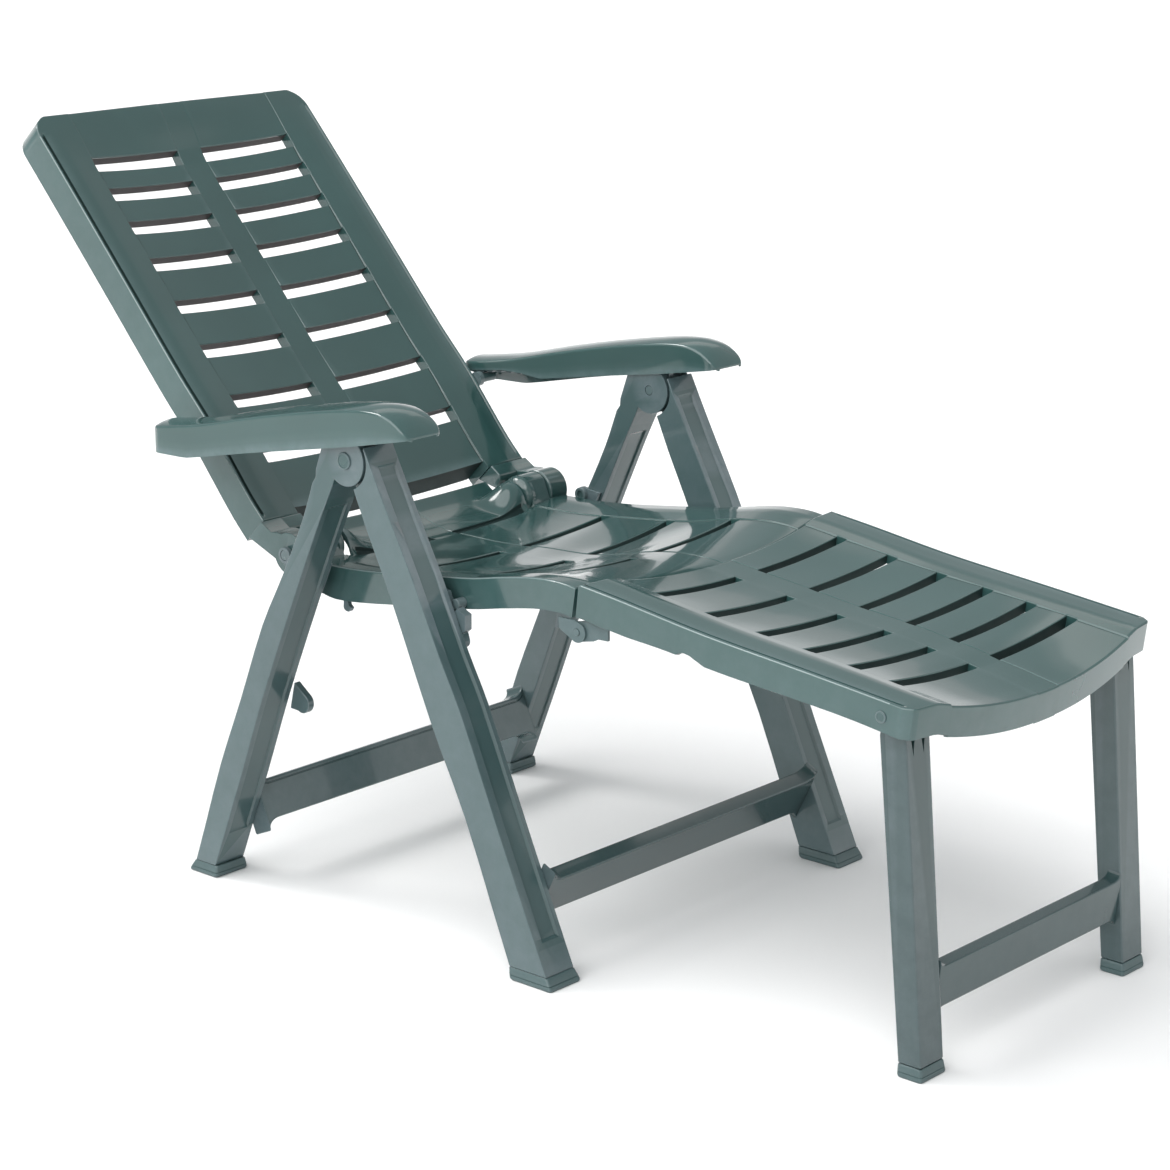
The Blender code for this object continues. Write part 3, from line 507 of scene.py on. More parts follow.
        # painted highlight: cells in a narrow band just inside the border take the pale rim colour (material 3)
        elif 0.10 < (half_w - cx) / edge_r < 0.62 and 0.004 < cs < L - 0.030:
            face.material_index = 3
        bm.faces.new([low[k] for k in reversed(q)])
        for a, b in zip(q, q[1:] + q[:1]):
            count.setdefault(frozenset((a, b)), []).append((a, b))
    in_slot = lambda k: any(a - 1e-6 <= abs(xs[k[0]]) <= b + 1e-6 and c - 1e-6 <= ss[k[1]] <= d + 1e-6 for a, b, c, d in slots)
    rings = {}

    def ring(k, hole):
        if (k, hole) not in rings:
            x, s = xs[k[0]], ss[k[1]]
            n = Vector((0.0, nrm[k].x, nrm[k].y))
            d = (lip(x, s) if callable(lip) else lip) if hole else skirt(x, s)
            t, l = top[k].co, low[k].co
            # the outer wall stops short of the full depth, then turns in over a small radius
            r = 0.0008
            side = Vector((l.x - t.x, l.y - t.y, l.z - t.z))
            side -= n * side.dot(n)
            w = side.length
            side = side / w if w > 1e-9 else Vector((0, 0, 0))
            e = [t + n * (d - r), t + n * (d - 0.3 * r) + side * 0.3 * r, t + n * d + side * r]
            e += [t + n * d + side * (w - r), t + n * (d - 0.3 * r) + side * (w - 0.3 * r), t + n * (d - r) + side * w]
            rings[k, hole] = [bm.verts.new(p) for p in e]
        return rings[k, hole]

    for pair in count.values():
        if len(pair) != 1:
            continue
        a, b = pair[0]
        hole = in_slot(a) and in_slot(b)
        ra, rb = ring(a, hole), ring(b, hole)
        chain_a, chain_b = [top[a]] + ra + [low[a]], [top[b]] + rb + [low[b]]
        for k, (p, q, r_, t_) in enumerate(zip(chain_a, chain_a[1:], chain_b[1:], chain_b)):
            f = bm.faces.new((t_, p, q, r_))
            # the slot's end walls take material 1 (painted light on the backrest, painted shade on seat and footrest);
            # when asked, the faces of the low end inside the slot columns take painted shade (material 2)
            if k == 0 and hole and a[1] == b[1]:
                f.material_index = 1
            elif k < 4 and painted_shade_end and (ss[a[1]] + ss[b[1]]) / 2 < 0.013 and abs(xs[a[0]] + xs[b[0]]) / 2 < SLOT_OUT:
                f.material_index = 2
    bmesh.ops.recalc_face_normals(bm, faces=bm.faces)
    if sum((f.normal.z * f.calc_area()) for f in bm.faces if all(v in set() for v in f.verts)) < 0:
        bmesh.ops.reverse_faces(bm, faces=bm.faces)
    obj = obj_from(name, bm, merge=1e-8, recalc=False)
    me = obj.data
    vol = 0.0
    for p in me.polygons:
        vs = [me.vertices[k].co for k in p.vertices]
        for k in range(1, len(vs) - 1):
            vol += vs[0].dot(vs[k].cross(vs[k + 1]))
    if vol < 0:
        me.flip_normals()
    return obj


def slat_relief(slots, s0, s1, outer, inner, head=0.0, groove_at=None, groove_w=0.0022, groove_d=0.0013, groove_s=(0.0, 9.0), tilt=0.0, up_first=True):
    """The slats lie a little under the side strips and over the spine, most at one edge of each slat;
    a narrow groove runs along the rim."""
    ends = [(c, d) for a, b, c, d in slots]

    def f(ax, s):
        d = 0.0
        if SLOT_IN - 0.0005 < ax < SLOT_OUT + 0.0005:
            depth = inner + (outer - inner) * (ax - SLOT_IN) / (SLOT_OUT - SLOT_IN)
            if s > s1 or s < s0:
                depth *= head
            elif tilt:
                below = [b for a, b in ends if b <= s + 1e-6]
                above = [a for a, b in ends if a >= s - 1e-6]
                if below and above:
                    lo_, hi_ = max(below), min(above)
                    depth *= tilt + (1 - tilt) * ((hi_ - s) if up_first else (s - lo_)) / max(1e-6, hi_ - lo_)
            d += depth * ease((ax - (SLOT_IN - 0.0002)) / 0.0011) * ease(((SLOT_OUT + 0.0002) - ax) / 0.0011)
        if groove_at:
            u = abs(ax - groove_at) / (groove_w / 2)
            if u < 1 and groove_s[0] < s < groove_s[1]:
                e = ease((s - groove_s[0]) / 0.004) * ease((groove_s[1] - s) / 0.004)
                d += groove_d * (1 - u * u) ** 0.5 * e
        return d
    return f


def relief_lines(groove_at=None, groove_w=0.0022):
    lines = [SLOT_IN - 0.0002, SLOT_IN, SLOT_IN + 0.0003, SLOT_IN + 0.0006, SLOT_IN + 0.0009, SLOT_OUT + 0.0002, SLOT_OUT, SLOT_OUT - 0.0003, SLOT_OUT - 0.0006, SLOT_OUT - 0.0009]
    if groove_at:
        lines += [groove_at + groove_w / 2 * k for k in (-1.0, -0.92, -0.6, 0.0, 0.6, 0.92, 1.0)]
    return lines


# ---- backrest ---------------------------------------------------------------------------------
BACK_LINE = [(0.3160, 0.4470), (0.3411, 0.4724), (0.3714, 0.5080), (0.4123, 0.5560), (0.4609, 0.6060),
             (0.5656, 0.7220), (0.6725, 0.8395), (0.7266, 0.8980)]
BACK_S = (0.598, 0.552, 0.500, 0.443, 0.378, 0.311, 0.2345, 0.154)
BACK_OFF = 0.0560
SLOT_H_BACK = 0.0200
back_line = Line(BACK_LINE)


def back_dish(x, s):
    d = 0.0165 * max(0.0, 1 - (x / 0.200) ** 2)
    fade = ease((back_line.length - s) / 0.100)
    return d * fade


def backrest():
    L = back_line.length
    slots = [(SLOT_IN, SLOT_OUT, s - SLOT_H_BACK - BACK_OFF, s - BACK_OFF) for s in BACK_S]
    top = slots[0][3]
    g = BACK_W - 0.0058
    relief = slat_relief(slots, 0.0, top, 0.0022, -0.0010, 0.35, g, 0.0028, 0.0026, (0.006, L - 0.026), tilt=0.45)
    mid = [((slots[k][2] + slots[k + 1][3]) / 2, (slots[k][2] + slots[k + 1][3]) / 2) for k in range(7)]
    obj = slat_panel("backrest", back_line, BACK_W, back_dish, slots, lambda x, s: 0.0400, relief,
                     relief_lines(g, 0.0028) + [0.205, 0.200, SLOT_OUT - 0.0019], [0.012, 0.0060, 0.0100, L - 0.026, L - 0.030, L - 0.022, L - 0.014, L - 0.008, L - 0.018, top + 0.0022, top + 0.001],
                     cuts=[(-1.0, SLOT_OUT - 0.00001, -1.0, 0.012 - 0.00001)], corner=(0.0, 0.030), lip=0.0140, edge_r=0.0026,
                     # painted shade on the bottom end faces and in strips along the rim groove and beside the outer
                     # slot ends
                     s_push=[(0.012, 0.012 + WALL)] + mid, painted_shade_end=True,
                     painted_shade_strips=[(g - 0.00120, g + 0.00090, 0.008, L - 0.030), (SLOT_OUT - 0.0019, SLOT_OUT - 0.0009, 0.0, top + 0.0005)])
    piece(obj, "backrest_panel", "panel", lip="lip_back")


backrest()


# ---- seat -------------------------------------------------------------------------------------
SEAT_LINE = [(0.3120, 0.4325), (0.2970, 0.4215), (0.2770, 0.4140), (0.2500, 0.4108), (0.2200, 0.4110), (0.1735, 0.4125),
             (0.1234, 0.4169), (0.0500, 0.4262), (-0.0212, 0.4355), (-0.0678, 0.4448), (-0.1135, 0.4525),
             (-0.1434, 0.4547), (-0.1657, 0.4541), (-0.1805, 0.4520)]
SEAT_SLOT_Y = ((0.1120, 0.1270), (0.0060, 0.0210), (-0.0960, -0.0810))
seat_line = Line(SEAT_LINE)


def s_at(line, y):
    lo, hi = 0.0, line.length
    for _ in range(40):
        m = (lo + hi) / 2
        if line.at(m).x > y:
            lo = m
        else:
            hi = m
    return (lo + hi) / 2


def seat_dish(x, s):
    y = seat_line.at(s).x
    d = interp(y, ((-0.180, 0.0190), (-0.080, 0.0185), (0.014, 0.0215), (0.110, 0.0155), (0.235, 0.0120), (0.306, 0.0080)))
    return d * max(0.0, 1 - (x / 0.200) ** 2)


def seat_bow(x, s):
    q = seat_line.at(s)
    y = q.x
    u = abs(y - HINGE[0]) / 0.0290
    # the rear corners rise to meet the barrels
    lift = 0.0
    if u < 1.0:
        lift = max(0.0, HINGE[1] + 0.0256 * math.cos(math.pi / 2 * u) ** 0.8 - q.y)
        lift *= ease((1 - u) / 0.30) * ease((abs(x) - 0.104) / 0.050)
    return (-0.0150 * ease((-0.120 - y) / 0.060) * max(0.0, 1 - (x / FOOT_W) ** 2), lift)


def seat_skirt(x, s):
    y = seat_line.at(s).x
    if y > 0.2390 or (abs(x) < SLOT_OUT and y > 0.2):
        return 0.0100
    return interp(y, ((-0.180, 0.0330), (-0.060, 0.0340), (0.100, 0.0360), (0.200, 0.0390), (0.2385, 0.0330)))


def seat():
    L = seat_line.length
    slots = [(SLOT_IN, SLOT_OUT, s_at(seat_line, b), s_at(seat_line, a)) for a, b in SEAT_SLOT_Y]
    tail = s_at(seat_line, 0.2385)
    relief = slat_relief(slots, 0.0, L, 0.0014, -0.0007)
    mid = [((slots[k][3] + slots[k + 1][2]) / 2,) * 2 for k in range(2)] + [((slots[0][2] + tail) / 2,) * 2]
    obj = slat_panel("seat", seat_line, SEAT_W, seat_dish, slots, seat_skirt, relief,
                     relief_lines() + [0.1560, 0.200] + [0.108 + 0.004 * k for k in range(12)],
                     [tail] + [tail + 0.004 * k for k in SOFT] + [s_at(seat_line, y) for y in (0.2, -0.120, -0.135, -0.150, -0.165)]
                     + [s_at(seat_line, 0.2400 + 0.0032 * k) for k in range(1, 19)],
                     cuts=[(0.1560, 1.0, -1.0, tail)], bow=seat_bow, lip=0.0085, edge_r=0.0030,
                     x_push=[(0.1560, 0.1560 - WALL), (0.1600, 0.1600 - WALL * 0.4)],
                     # a shallow well near the rear edge, its floor coloured with painted shade (material 2)
                     wells=[(SLOT_IN, 0.1500, s_at(seat_line, 0.2440), s_at(seat_line, 0.2300))],
                     s_push=[(tail, tail + WALL)] + mid)
    piece(obj, "seat_panel", "panel", lip="lip_seat")


seat()


# ---- footrest ---------------------------------------------------------------------------------
REST_LINE = [(-0.1885, 0.4580), (-0.2484, 0.4506), (-0.3609, 0.4350), (-0.4952, 0.4213), (-0.5598, 0.4145),
             (-0.6292, 0.4068), (-0.6370, 0.4058)]
REST_SLOT_Y = (-0.2570, -0.3310, -0.4010, -0.4650, -0.5240, -0.5780)
rest_line = Line(REST_LINE)


def rest_dish(x, s):
    y = rest_line.at(s).x
    d = interp(y, ((-0.637, 0.0270), (-0.590, 0.0205), (-0.540, 0.0165), (-0.460, 0.0140), (-0.330, 0.0145),
                   (-0.257, 0.0165), (-0.188, 0.0190)))
    return d * max(0.0, 1 - (x / 0.187) ** 2)


def rest_bow(x, s):
    y = rest_line.at(s).x
    k = max(0.0, 1 - (x / FOOT_W) ** 2)
    return (-0.0150 * ease((y + 0.250) / 0.055) * k - 0.0190 * ease((-0.590 - y) / 0.045) * k, 0.0)


def rest_skirt(x, s):
    y = rest_line.at(s).x
    if abs(x) < SLOT_OUT + 0.012:
        y = min(y, -0.3800) if y < -0.3 else y
    d = interp(y, ((-0.6370, 0.0325), (-0.5606, 0.0310), (-0.3700, 0.0335), (-0.3610, 0.0310), (-0.3500, 0.0275),
                   (-0.3391, 0.0270), (-0.3293, 0.0325), (-0.2486, 0.0365), (-0.1885, 0.0360)))
    return d if abs(x) > SLOT_OUT or y < -0.3 else 0.0300


def rest_lip(x, s):
    """The slots' walls; those over the folded stretcher are the shallowest."""
    y = rest_line.at(s).x
    if -0.338 < y < -0.265:
        return 0.0110 if x > 0 else 0.0085
    return (0.0160 if y < -0.560 else 0.0125) if x > 0 else 0.0100


def footrest():
    L = rest_line.length
    slots = [(SLOT_IN, SLOT_OUT, s_at(rest_line, y + 0.0135), s_at(rest_line, y)) for y in REST_SLOT_Y]
    g = FOOT_W - 0.0058
    relief = slat_relief(slots, 0.0, L, 0.0018, -0.0008, 1.0, g, 0.0030, 0.0030, (0.004, L - 0.014), tilt=0.4)
    mid = [((slots[k][3] + slots[k + 1][2]) / 2,) * 2 for k in range(5)]
    obj = slat_panel("footrest", rest_line, FOOT_W, rest_dish, slots, rest_skirt, relief,
                     relief_lines(g, 0.0030) + [0.187, SLOT_OUT - 0.0016],
                     [s_at(rest_line, y) for y in (-0.3290, -0.3340, -0.3400, -0.3500, -0.3560, -0.3620, -0.3700, -0.3, -0.59, -0.6)]
                     + [L - 0.014, L - 0.010, L - 0.018],
                     bow=rest_bow, corner=(0.0, 0.014), lip=rest_lip, edge_r=0.0028, s_push=mid,
                     # painted shade in strips along the rim groove and beside the outer slot ends
                     painted_shade_strips=[(g - 0.00120, g + 0.00090, 0.006, L - 0.018), (SLOT_OUT - 0.0016, SLOT_OUT - 0.0009, 0.004, L - 0.008)])
    piece(obj, "footrest_panel", "panel", lip="lip_seat")


footrest()


# ---- legs -------------------------------------------------------------------------------------
REAR_BACK = [(0.1517, 0.5724), (0.1660, 0.5290), (0.1846, 0.4812), (0.2200, 0.4100), (0.2578, 0.3412),
             (0.3005, 0.2397), (0.3402, 0.1489), (0.3840, 0.0300)]
REAR_FRONT = [(0.3490, 0.0300), (0.3048, 0.1376), (0.2615, 0.2477), (0.2088, 0.3687), (0.1580, 0.4796),
              (0.1330, 0.5300)]
FRONT_REAR = [(0.1015, 0.5285), (0.0809, 0.4900), (0.0396, 0.4070), (-0.0181, 0.2791), (-0.0713, 0.1743),
              (-0.1310, 0.0300)]
FRONT_FRONT = [(-0.1870, 0.0300), (-0.1701, 0.0673), (-0.1252, 0.1656), (-0.0653, 0.2996), (-0.0351, 0.3555),
               (0.0072, 0.4409), (0.0558, 0.5313), (0.0817, 0.5816)]


def slide(p, lean, z):
    return (p[0] + (p[1] - z) * math.tan(math.radians(lean)), z)


def channel(path, x0, x1, depth, slope, outward):
    """A cutter for a shallow, sloped-sided recess along a face given by (y, z) points."""
    bm = bmesh.new()
    rows = []
    n = len(path)
    for i, p in enumerate(path):
        a, b = Vector(path[max(0, i - 1)]), Vector(path[min(n - 1, i + 1)])
        d = (b - a).normalized()
        nn = Vector((-d.y, d.x))
        if nn.dot(Vector(outward)) < 0:
            nn = -nn
        end = 1.0 if 0 < i < n - 1 else 0.0
        q = Vector(p)
        out, inn = q + nn * 0.002, q - nn * depth * end - nn * 0.0002 * (1 - end)
        k = slope * (1 + 0.002 / depth)
        rows.append([bm.verts.new((x, v.x, v.y)) for x, v in
                     ((x0 - (k - slope), out), (x0 + slope * end, inn), (x1 - slope * end, inn), (x1 + (k - slope), out))])
    bm.faces.new(rows[0])
    bm.faces.new(rows[-1][::-1])
    for lo, hi in zip(rows, rows[1:]):
        for i in range(4):
            bm.faces.new((lo[i], lo[(i + 1) % 4], hi[(i + 1) % 4], hi[i]))
    return obj_from("channel", bm)


def along(pts, z0, z1, n=10):
    """Points of a polyline, as y over z, from z0 to z1."""
    pts = sorted(pts, key=lambda p: p[1])

    def y_of(z):
        for a, b in zip(pts, pts[1:]):
            if z <= b[1] or b is pts[-1]:
                return a[0] + (b[0] - a[0]) * (z - a[1]) / (b[1] - a[1])
        return pts[-1][0]
    zs = sorted({z0, z0 + 0.004, z1 - 0.004, z1} | {p[1] for p in pts if z0 + 0.01 < p[1] < z1 - 0.01})
    return [(y_of(z), z) for z in zs]


def smooth_path(pts, per=4):
    """The polyline with points added on a smooth curve through it."""
    L = Line(pts)
    out = []
    for i in range(len(L.s) - 1):
        for k in range(per):
            out.append(tuple(L.at(L.s[i] + (L.s[i + 1] - L.s[i]) * k / per)))
    out.append(pts[-1])
    return out


def rear_leg(side, sx):
    z0 = FOOT_H + GAP
    back = smooth_path(REAR_BACK[1:], 3)
    front = smooth_path(REAR_FRONT, 3)
    outline = back[:-1] + [slide(REAR_BACK[-1], 22.5, z0), slide(REAR_FRONT[0], 21.5, z0)] + front[1:]
    outline += arc(PIVOT, 0.0325, -54, -8, 10)
    bar = prism("bar", outline, sx * LEG_IN, sx * LEG_OUT)
    bar = bevel(bar, 0.0028, 3)
    path = along(front, 0.060, 0.500)
    a, b = sorted((sx * (LEG_IN + 0.0085), sx * (LEG_OUT - 0.0085)))
    bar = join(bar, [channel(path, a, b, 0.0022, 0.0016, (-1.0, -0.4))], "DIFFERENCE")
    ear = (arc(PIVOT, 0.030, 40, 306, 56)
           + [(0.1450, 0.5060), (0.1640, 0.4930), (0.1600, 0.5450), (0.1480, 0.5780)])
    ear_a = bevel(prism("ear_a", ear, sx * 0.2792, sx * LEG_OUT), 0.0012, 2, 60)
    ear_b = bevel(prism("ear_b", ear, sx * LEG_IN, sx * 0.2540), 0.0012, 2, 60)
    bar = join(bar, [ear_a, ear_b])
    bar = bore(bar, PIVOT, PIN_R + PIN_PLAY, sx * 0.23, sx * 0.30)
    piece(bar, "rear_leg_" + side, "frame")


def front_leg(side, sx):
    z0 = FOOT_H + GAP
    rear = smooth_path(FRONT_REAR[1:], 3)
    front = smooth_path(FRONT_FRONT, 3)
    outline = (rear[:-1] + [slide(FRONT_REAR[-1], -24.0, z0), slide(FRONT_FRONT[0], -25.0, z0)]
               + front[1:] + arc(PIVOT, 0.0335, 149, 248, 20))
    bar = prism("bar", outline, sx * LEG_IN, sx * LEG_OUT)
    bar = bevel(bar, 0.0028, 3)
    path = along(front, 0.050, 0.560)
    a, b = sorted((sx * (LEG_IN + 0.0075), sx * (LEG_OUT - 0.0120)))
    bar = join(bar, [channel(path, a, b, 0.0030, 0.0022, (-1.0, 0.3))], "DIFFERENCE")
    tongue = (arc(PIVOT, 0.0265, -100, 150, 40)
              + [(0.0790, 0.5560), (0.0600, 0.5150), (0.0780, 0.4950), (0.1000, 0.5100)])
    bar = join(bar, [prism("tongue", tongue, sx * 0.2622, sx * 0.2785)])
    bar = bore(bar, PIVOT, PIN_R + PIN_PLAY, sx * 0.23, sx * 0.30)
    piece(bar, "front_leg_" + side, "frame")


def foot(name, y0, y1, x0, x1, sx, top_y0, top_y1, flare=0.0025):
    """A flared cap with rolled edges and a tread groove round it."""
    bm = bmesh.new()
    rings = ((0.0, flare * 0.1), (0.0006, flare * 0.55), (0.0018, flare * 0.9), (0.0032, flare), (0.0060, flare * 0.86),
             (0.0062, flare * 0.62), (0.0070, flare * 0.62), (0.0072, flare * 0.80), (FOOT_H - 0.0030, 0.0009),
             (FOOT_H - 0.0010, 0.0005), (FOOT_H, -0.0004))
    rows = []
    corner = 0.0035
    for z, f in rings:
        u = z / FOOT_H
        a, b = y0 + (top_y0 - y0) * u - f, y1 + (top_y1 - y1) * u + f
        xa, xb = x0 - f, x1 + f
        loop = []
        for cx, cy, s0 in ((xb - corner, b - corner, 0), (xa + corner, b - corner, 90), (xa + corner, a + corner, 180), (xb - corner, a + corner, 270)):
            for k in range(6):
                t = math.radians(s0 + 90 * k / 5)
                loop.append((cx + corner * math.cos(t), cy + corner * math.sin(t)))
        rows.append([bm.verts.new((sx * x, y, z)) for x, y in loop])
    bm.faces.new(rows[0][::-1])
    bm.faces.new(rows[-1])
    n = len(rows[0])
    for lo, hi in zip(rows, rows[1:]):
        for i in range(n):
            bm.faces.new((lo[i], lo[(i + 1) % n], hi[(i + 1) % n], hi[i]))
    piece(obj_from(name, bm), name, "foot")


def stretcher(name, centre, lean, half_len, thick, half_h, flare, reach=0.020, mat="frame", round_r=0.0025, groove=None):
    """A cross bar with rounded edges whose height grows in a fillet where it meets the legs."""
    bm = bmesh.new()
    t = math.radians(lean)
    up = Vector((-math.sin(t), math.cos(t)))
    fw = Vector((-math.cos(t), -math.sin(t)))
    steps = [(half_len - reach * (1 - math.cos(math.pi / 2 * k / 9)), flare * (1 - math.sin(math.pi / 2 * k / 9))) for k in range(10)]
    xs = [(-x, f) for x, f in steps] + [(-(half_len - reach) + (2 * (half_len - reach)) * k / 8, 0.0) for k in range(1, 8)] + [(x, f) for x, f in reversed(steps)]
    c = Vector(centre)
    rows = []
    for x, f in xs:
        h = half_h + f
        w = thick / 2
        loop = []
        for sg_u, sg_f, s0 in ((1, 1, 0), (-1, 1, -90), (-1, -1, -180), (1, -1, -270)):
            for k in range(4):
                a = math.radians(s0 + 90 - 90 * k / 3)
                du = (h - round_r) * sg_u + round_r * math.sin(a)
                df = (w - round_r) * sg_f + round_r * math.cos(a)
                loop.append((du, df))
            if groove and sg_u == 1 and sg_f == 1:
                g, gw, gd = groove
                if flare and f > flare * 0.8:
                    gd = 0.0
                loop += [(h - g, w), (h - g - gw * 0.3, w - gd), (h - g - gw * 0.7, w - gd), (h - g - gw, w)]
        rows.append([bm.verts.new((x, (c + up * du + fw * df).x, (c + up * du + fw * df).y)) for du, df in loop])
    bm.faces.new(rows[0])
    bm.faces.new(rows[-1][::-1])
    n = len(rows[0])
    for lo, hi in zip(rows, rows[1:]):
        for i in range(n):
            bm.faces.new((lo[i], lo[(i + 1) % n], hi[(i + 1) % n], hi[i]))
    piece(obj_from(name, bm), name, mat, 34.0)


for side, sx in SIDES:
    rear_leg(side, sx)
    front_leg(side, sx)
    foot("rear_foot_" + side, 0.3535, 0.3985, LEG_IN, LEG_OUT, sx, 0.3515, 0.3920)
    foot("front_foot_" + side, -0.2010, -0.1430, LEG_IN, LEG_OUT, sx, -0.1950, -0.1365)

stretcher("rear_stretcher", (0.3320, 0.0895), -23.4, LEG_IN - GAP, 0.0300, 0.0250, 0.013, 0.020, groove=(0.0050, 0.0022, 0.0011))
stretcher("front_stretcher", (-0.1400, 0.0890), 26.0, LEG_IN - GAP, 0.0200, 0.0265, 0.013, 0.020, mat="leg")

# ---- leg fittings -----------------------------------------------------------------------------
for side, sx in SIDES:
    o = lathe("pin", PIVOT, [(sx * 0.2432, PIN_R - 0.0006), (sx * 0.2438, PIN_R), (sx * (LEG_OUT + GAP), PIN_R),
                             (sx * (LEG_OUT + GAP), 0.0102), (sx * 0.2915, 0.0102), (sx * 0.2921, 0.0099), (sx * 0.2925, 0.0092),
                             (sx * 0.2925, 0.0080), (sx * 0.2918, 0.0076), (sx * 0.2918, 0.0001)])
    piece(o, "leg_pivot_pin_" + side, "pin")
    plate = ([(0.1900, 0.4180), (0.2080, 0.4200)] + arc((0.2185, 0.4125), 0.0095, 100, -20, 16)
             + [(0.2350, 0.4020), (0.2480, 0.4030)] + arc(HINGE, 0.0100, 175, -90, 24)
             + [(0.2620, 0.3960), (0.2450, 0.3850), (0.2250, 0.3780), (0.2080, 0.3800)])
    o = bevel(prism("plate", plate, sx * 0.2368, sx * (LEG_IN - GAP)), 0.0008, 2, 50)
    o = bore(o, HINGE, PIN_R + PIN_PLAY, sx * 0.23, sx * 0.25)
    piece(o, "hinge_plate_" + side, "frame")
    ring = lathe("rivet", (0.2185, 0.4125), [(sx * (0.2368 - GAP), 0.0090), (sx * 0.2326, 0.0090), (sx * 0.2321, 0.0087),
                                             (sx * 0.2318, 0.0080), (sx * 0.2318, 0.0056), (sx * 0.2322, 0.0050), (sx * 0.2345, 0.0048), (sx * 0.2345, 0.0001)])
    piece(ring, "hinge_plate_rivet_" + side, "pin")
    o = lathe("pin", HINGE, [(sx * 0.1700, PIN_R - 0.0008), (sx * 0.1708, PIN_R), (sx * 0.2418, PIN_R), (sx * 0.2424, PIN_R - 0.0008)])
    piece(o, "seat_hinge_pin_" + side, "pin")
    lug = ([(0.2560, 0.2600)] + arc((0.2440, 0.2360), 0.0125, 120, 300, 24) + [(0.2640, 0.2260)])
    piece(bevel(prism("lug", lug, sx * 0.2330, sx * (LEG_IN - GAP)), 0.0012, 3), "rear_leg_lug_" + side, "frame")
    cradle = ([(-0.0290, 0.3960)] + [(-0.0225, 0.3985)] + arc(PEG, 0.0070, 200, 350, 20)
              + [(0.0035, 0.4180), (0.0210, 0.4210), (0.0240, 0.4100), (0.0080, 0.3760), (-0.0010, 0.3620)]
              + arc((-0.0180, 0.3630), 0.0085, -20, -190, 16) + [(-0.0235, 0.3735), (-0.0290, 0.3780)])
    piece(bevel(prism("cradle", cradle, sx * 0.2312, sx * (LEG_IN - GAP)), 0.0007, 2, 50), "seat_cradle_" + side, "frame")

# ---- armrests ---------------------------------------------------------------------------------
ARM_TOP = [(0.0034, 0.6040), (0.0125, 0.6117), (0.0279, 0.6208), (0.0514, 0.6266), (0.0912, 0.6244),
           (0.1729, 0.6106), (0.2575, 0.5929), (0.3450, 0.5721), (0.4000, 0.5625), (0.4313, 0.5580)]
ARM_OUT_BOTTOM = [(0.0034, 0.6020), (0.0923, 0.5829), (0.1744, 0.5672), (0.2592, 0.5511), (0.3433, 0.5337),
                  (0.3737, 0.5279), (0.4313, 0.5266)]
ARM_IN_BOTTOM = [(0.0034, 0.6020), (0.0923, 0.5860), (0.1744, 0.5730), (0.2300, 0.5640), (0.2950, 0.5530),
                 (0.3300, 0.5560), (0.3600, 0.5560), (0.4313, 0.5470)]


def armrest(side, sx):
    line = Line(ARM_TOP)
    L = line.length
    mid, half = (ARM_IN + ARM_OUT) / 2, (ARM_OUT - ARM_IN) / 2
    er = 0.0028
    ss = filled([0.0, 0.0006, 0.0015, 0.0030, 0.0045, 0.007, 0.010, 0.014, 0.020, 0.030] + [L - er * k for k in SOFT] + [L - 0.008, L - 0.012], 0.010)
    us = filled([1 - er * k / half for k in SOFT] + [-1 + er * k / half for k in SOFT] + [0.0], 0.14)
    bm = bmesh.new()
    grid = {}
    for i, u in enumerate(us):
        for j, s in enumerate(ss):
            q = line.at(s)
            r_front, r_back = 0.020, 0.012
            hw = half
            if s < r_front:
                hw = half - 0.010 + 0.5 * math.sqrt(max(0.0, r_front ** 2 - (r_front - s) ** 2))
            if L - s < r_back:
                hw = half - r_back * 0.5 + 0.5 * math.sqrt(max(0.0, r_back ** 2 - (r_back - (L - s)) ** 2))
            e = min((1 - abs(u)) * half, L - s)
            crown = 0.0055 * (1 - u * u) * min(1.0, s / 0.03) - rounding(max(e, 0.0), er)
            grid[i, j] = bm.verts.new((sx * (mid + u * hw), q.x, q.y + crown))
    ni, nj = len(us), len(ss)
    for i in range(ni - 1):
        for j in range(nj - 1):
            bm.faces.new((grid[i, j], grid[i + 1, j], grid[i + 1, j + 1], grid[i, j + 1]))

    def low(i, j):
        y = grid[i, j].co.y
        t = (us[i] + 1) / 2
        zo, zi = straight(y, ARM_OUT_BOTTOM), straight(y, ARM_IN_BOTTOM)
        return min(zi + (zo - zi) * t, grid[i, j].co.z - 0.0015)

    ring = ([(i, 0) for i in range(ni)] + [(ni - 1, j) for j in range(1, nj)]
            + [(i, nj - 1) for i in range(ni - 2, -1, -1)] + [(0, j) for j in range(nj - 2, 0, -1)])
    rows = [[grid[k] for k in ring]]
    for share in (0.35, 0.7, 1.0):
        rows.append([bm.verts.new((grid[k].co.x, grid[k].co.y, grid[k].co.z + (low(*k) - grid[k].co.z) * share)) for k in ring])
    for hi, lo in zip(rows, rows[1:]):
        for k in range(len(ring)):
            bm.faces.new((hi[k], hi[(k + 1) % len(ring)], lo[(k + 1) % len(ring)], lo[k]))
    obj = obj_from("armrest", bm)
    me = obj.data
    if sum(p.normal.z * p.area for p in me.polygons) < 0:
        me.flip_normals()
    m = obj.modifiers.new("wall", "SOLIDIFY")
    m.thickness = 0.0024
    m.offset = -1.0
    m.use_even_offset = True
    m.use_quality_normals = True
    bake(obj)
    piece(obj, "armrest_" + side, "panel")


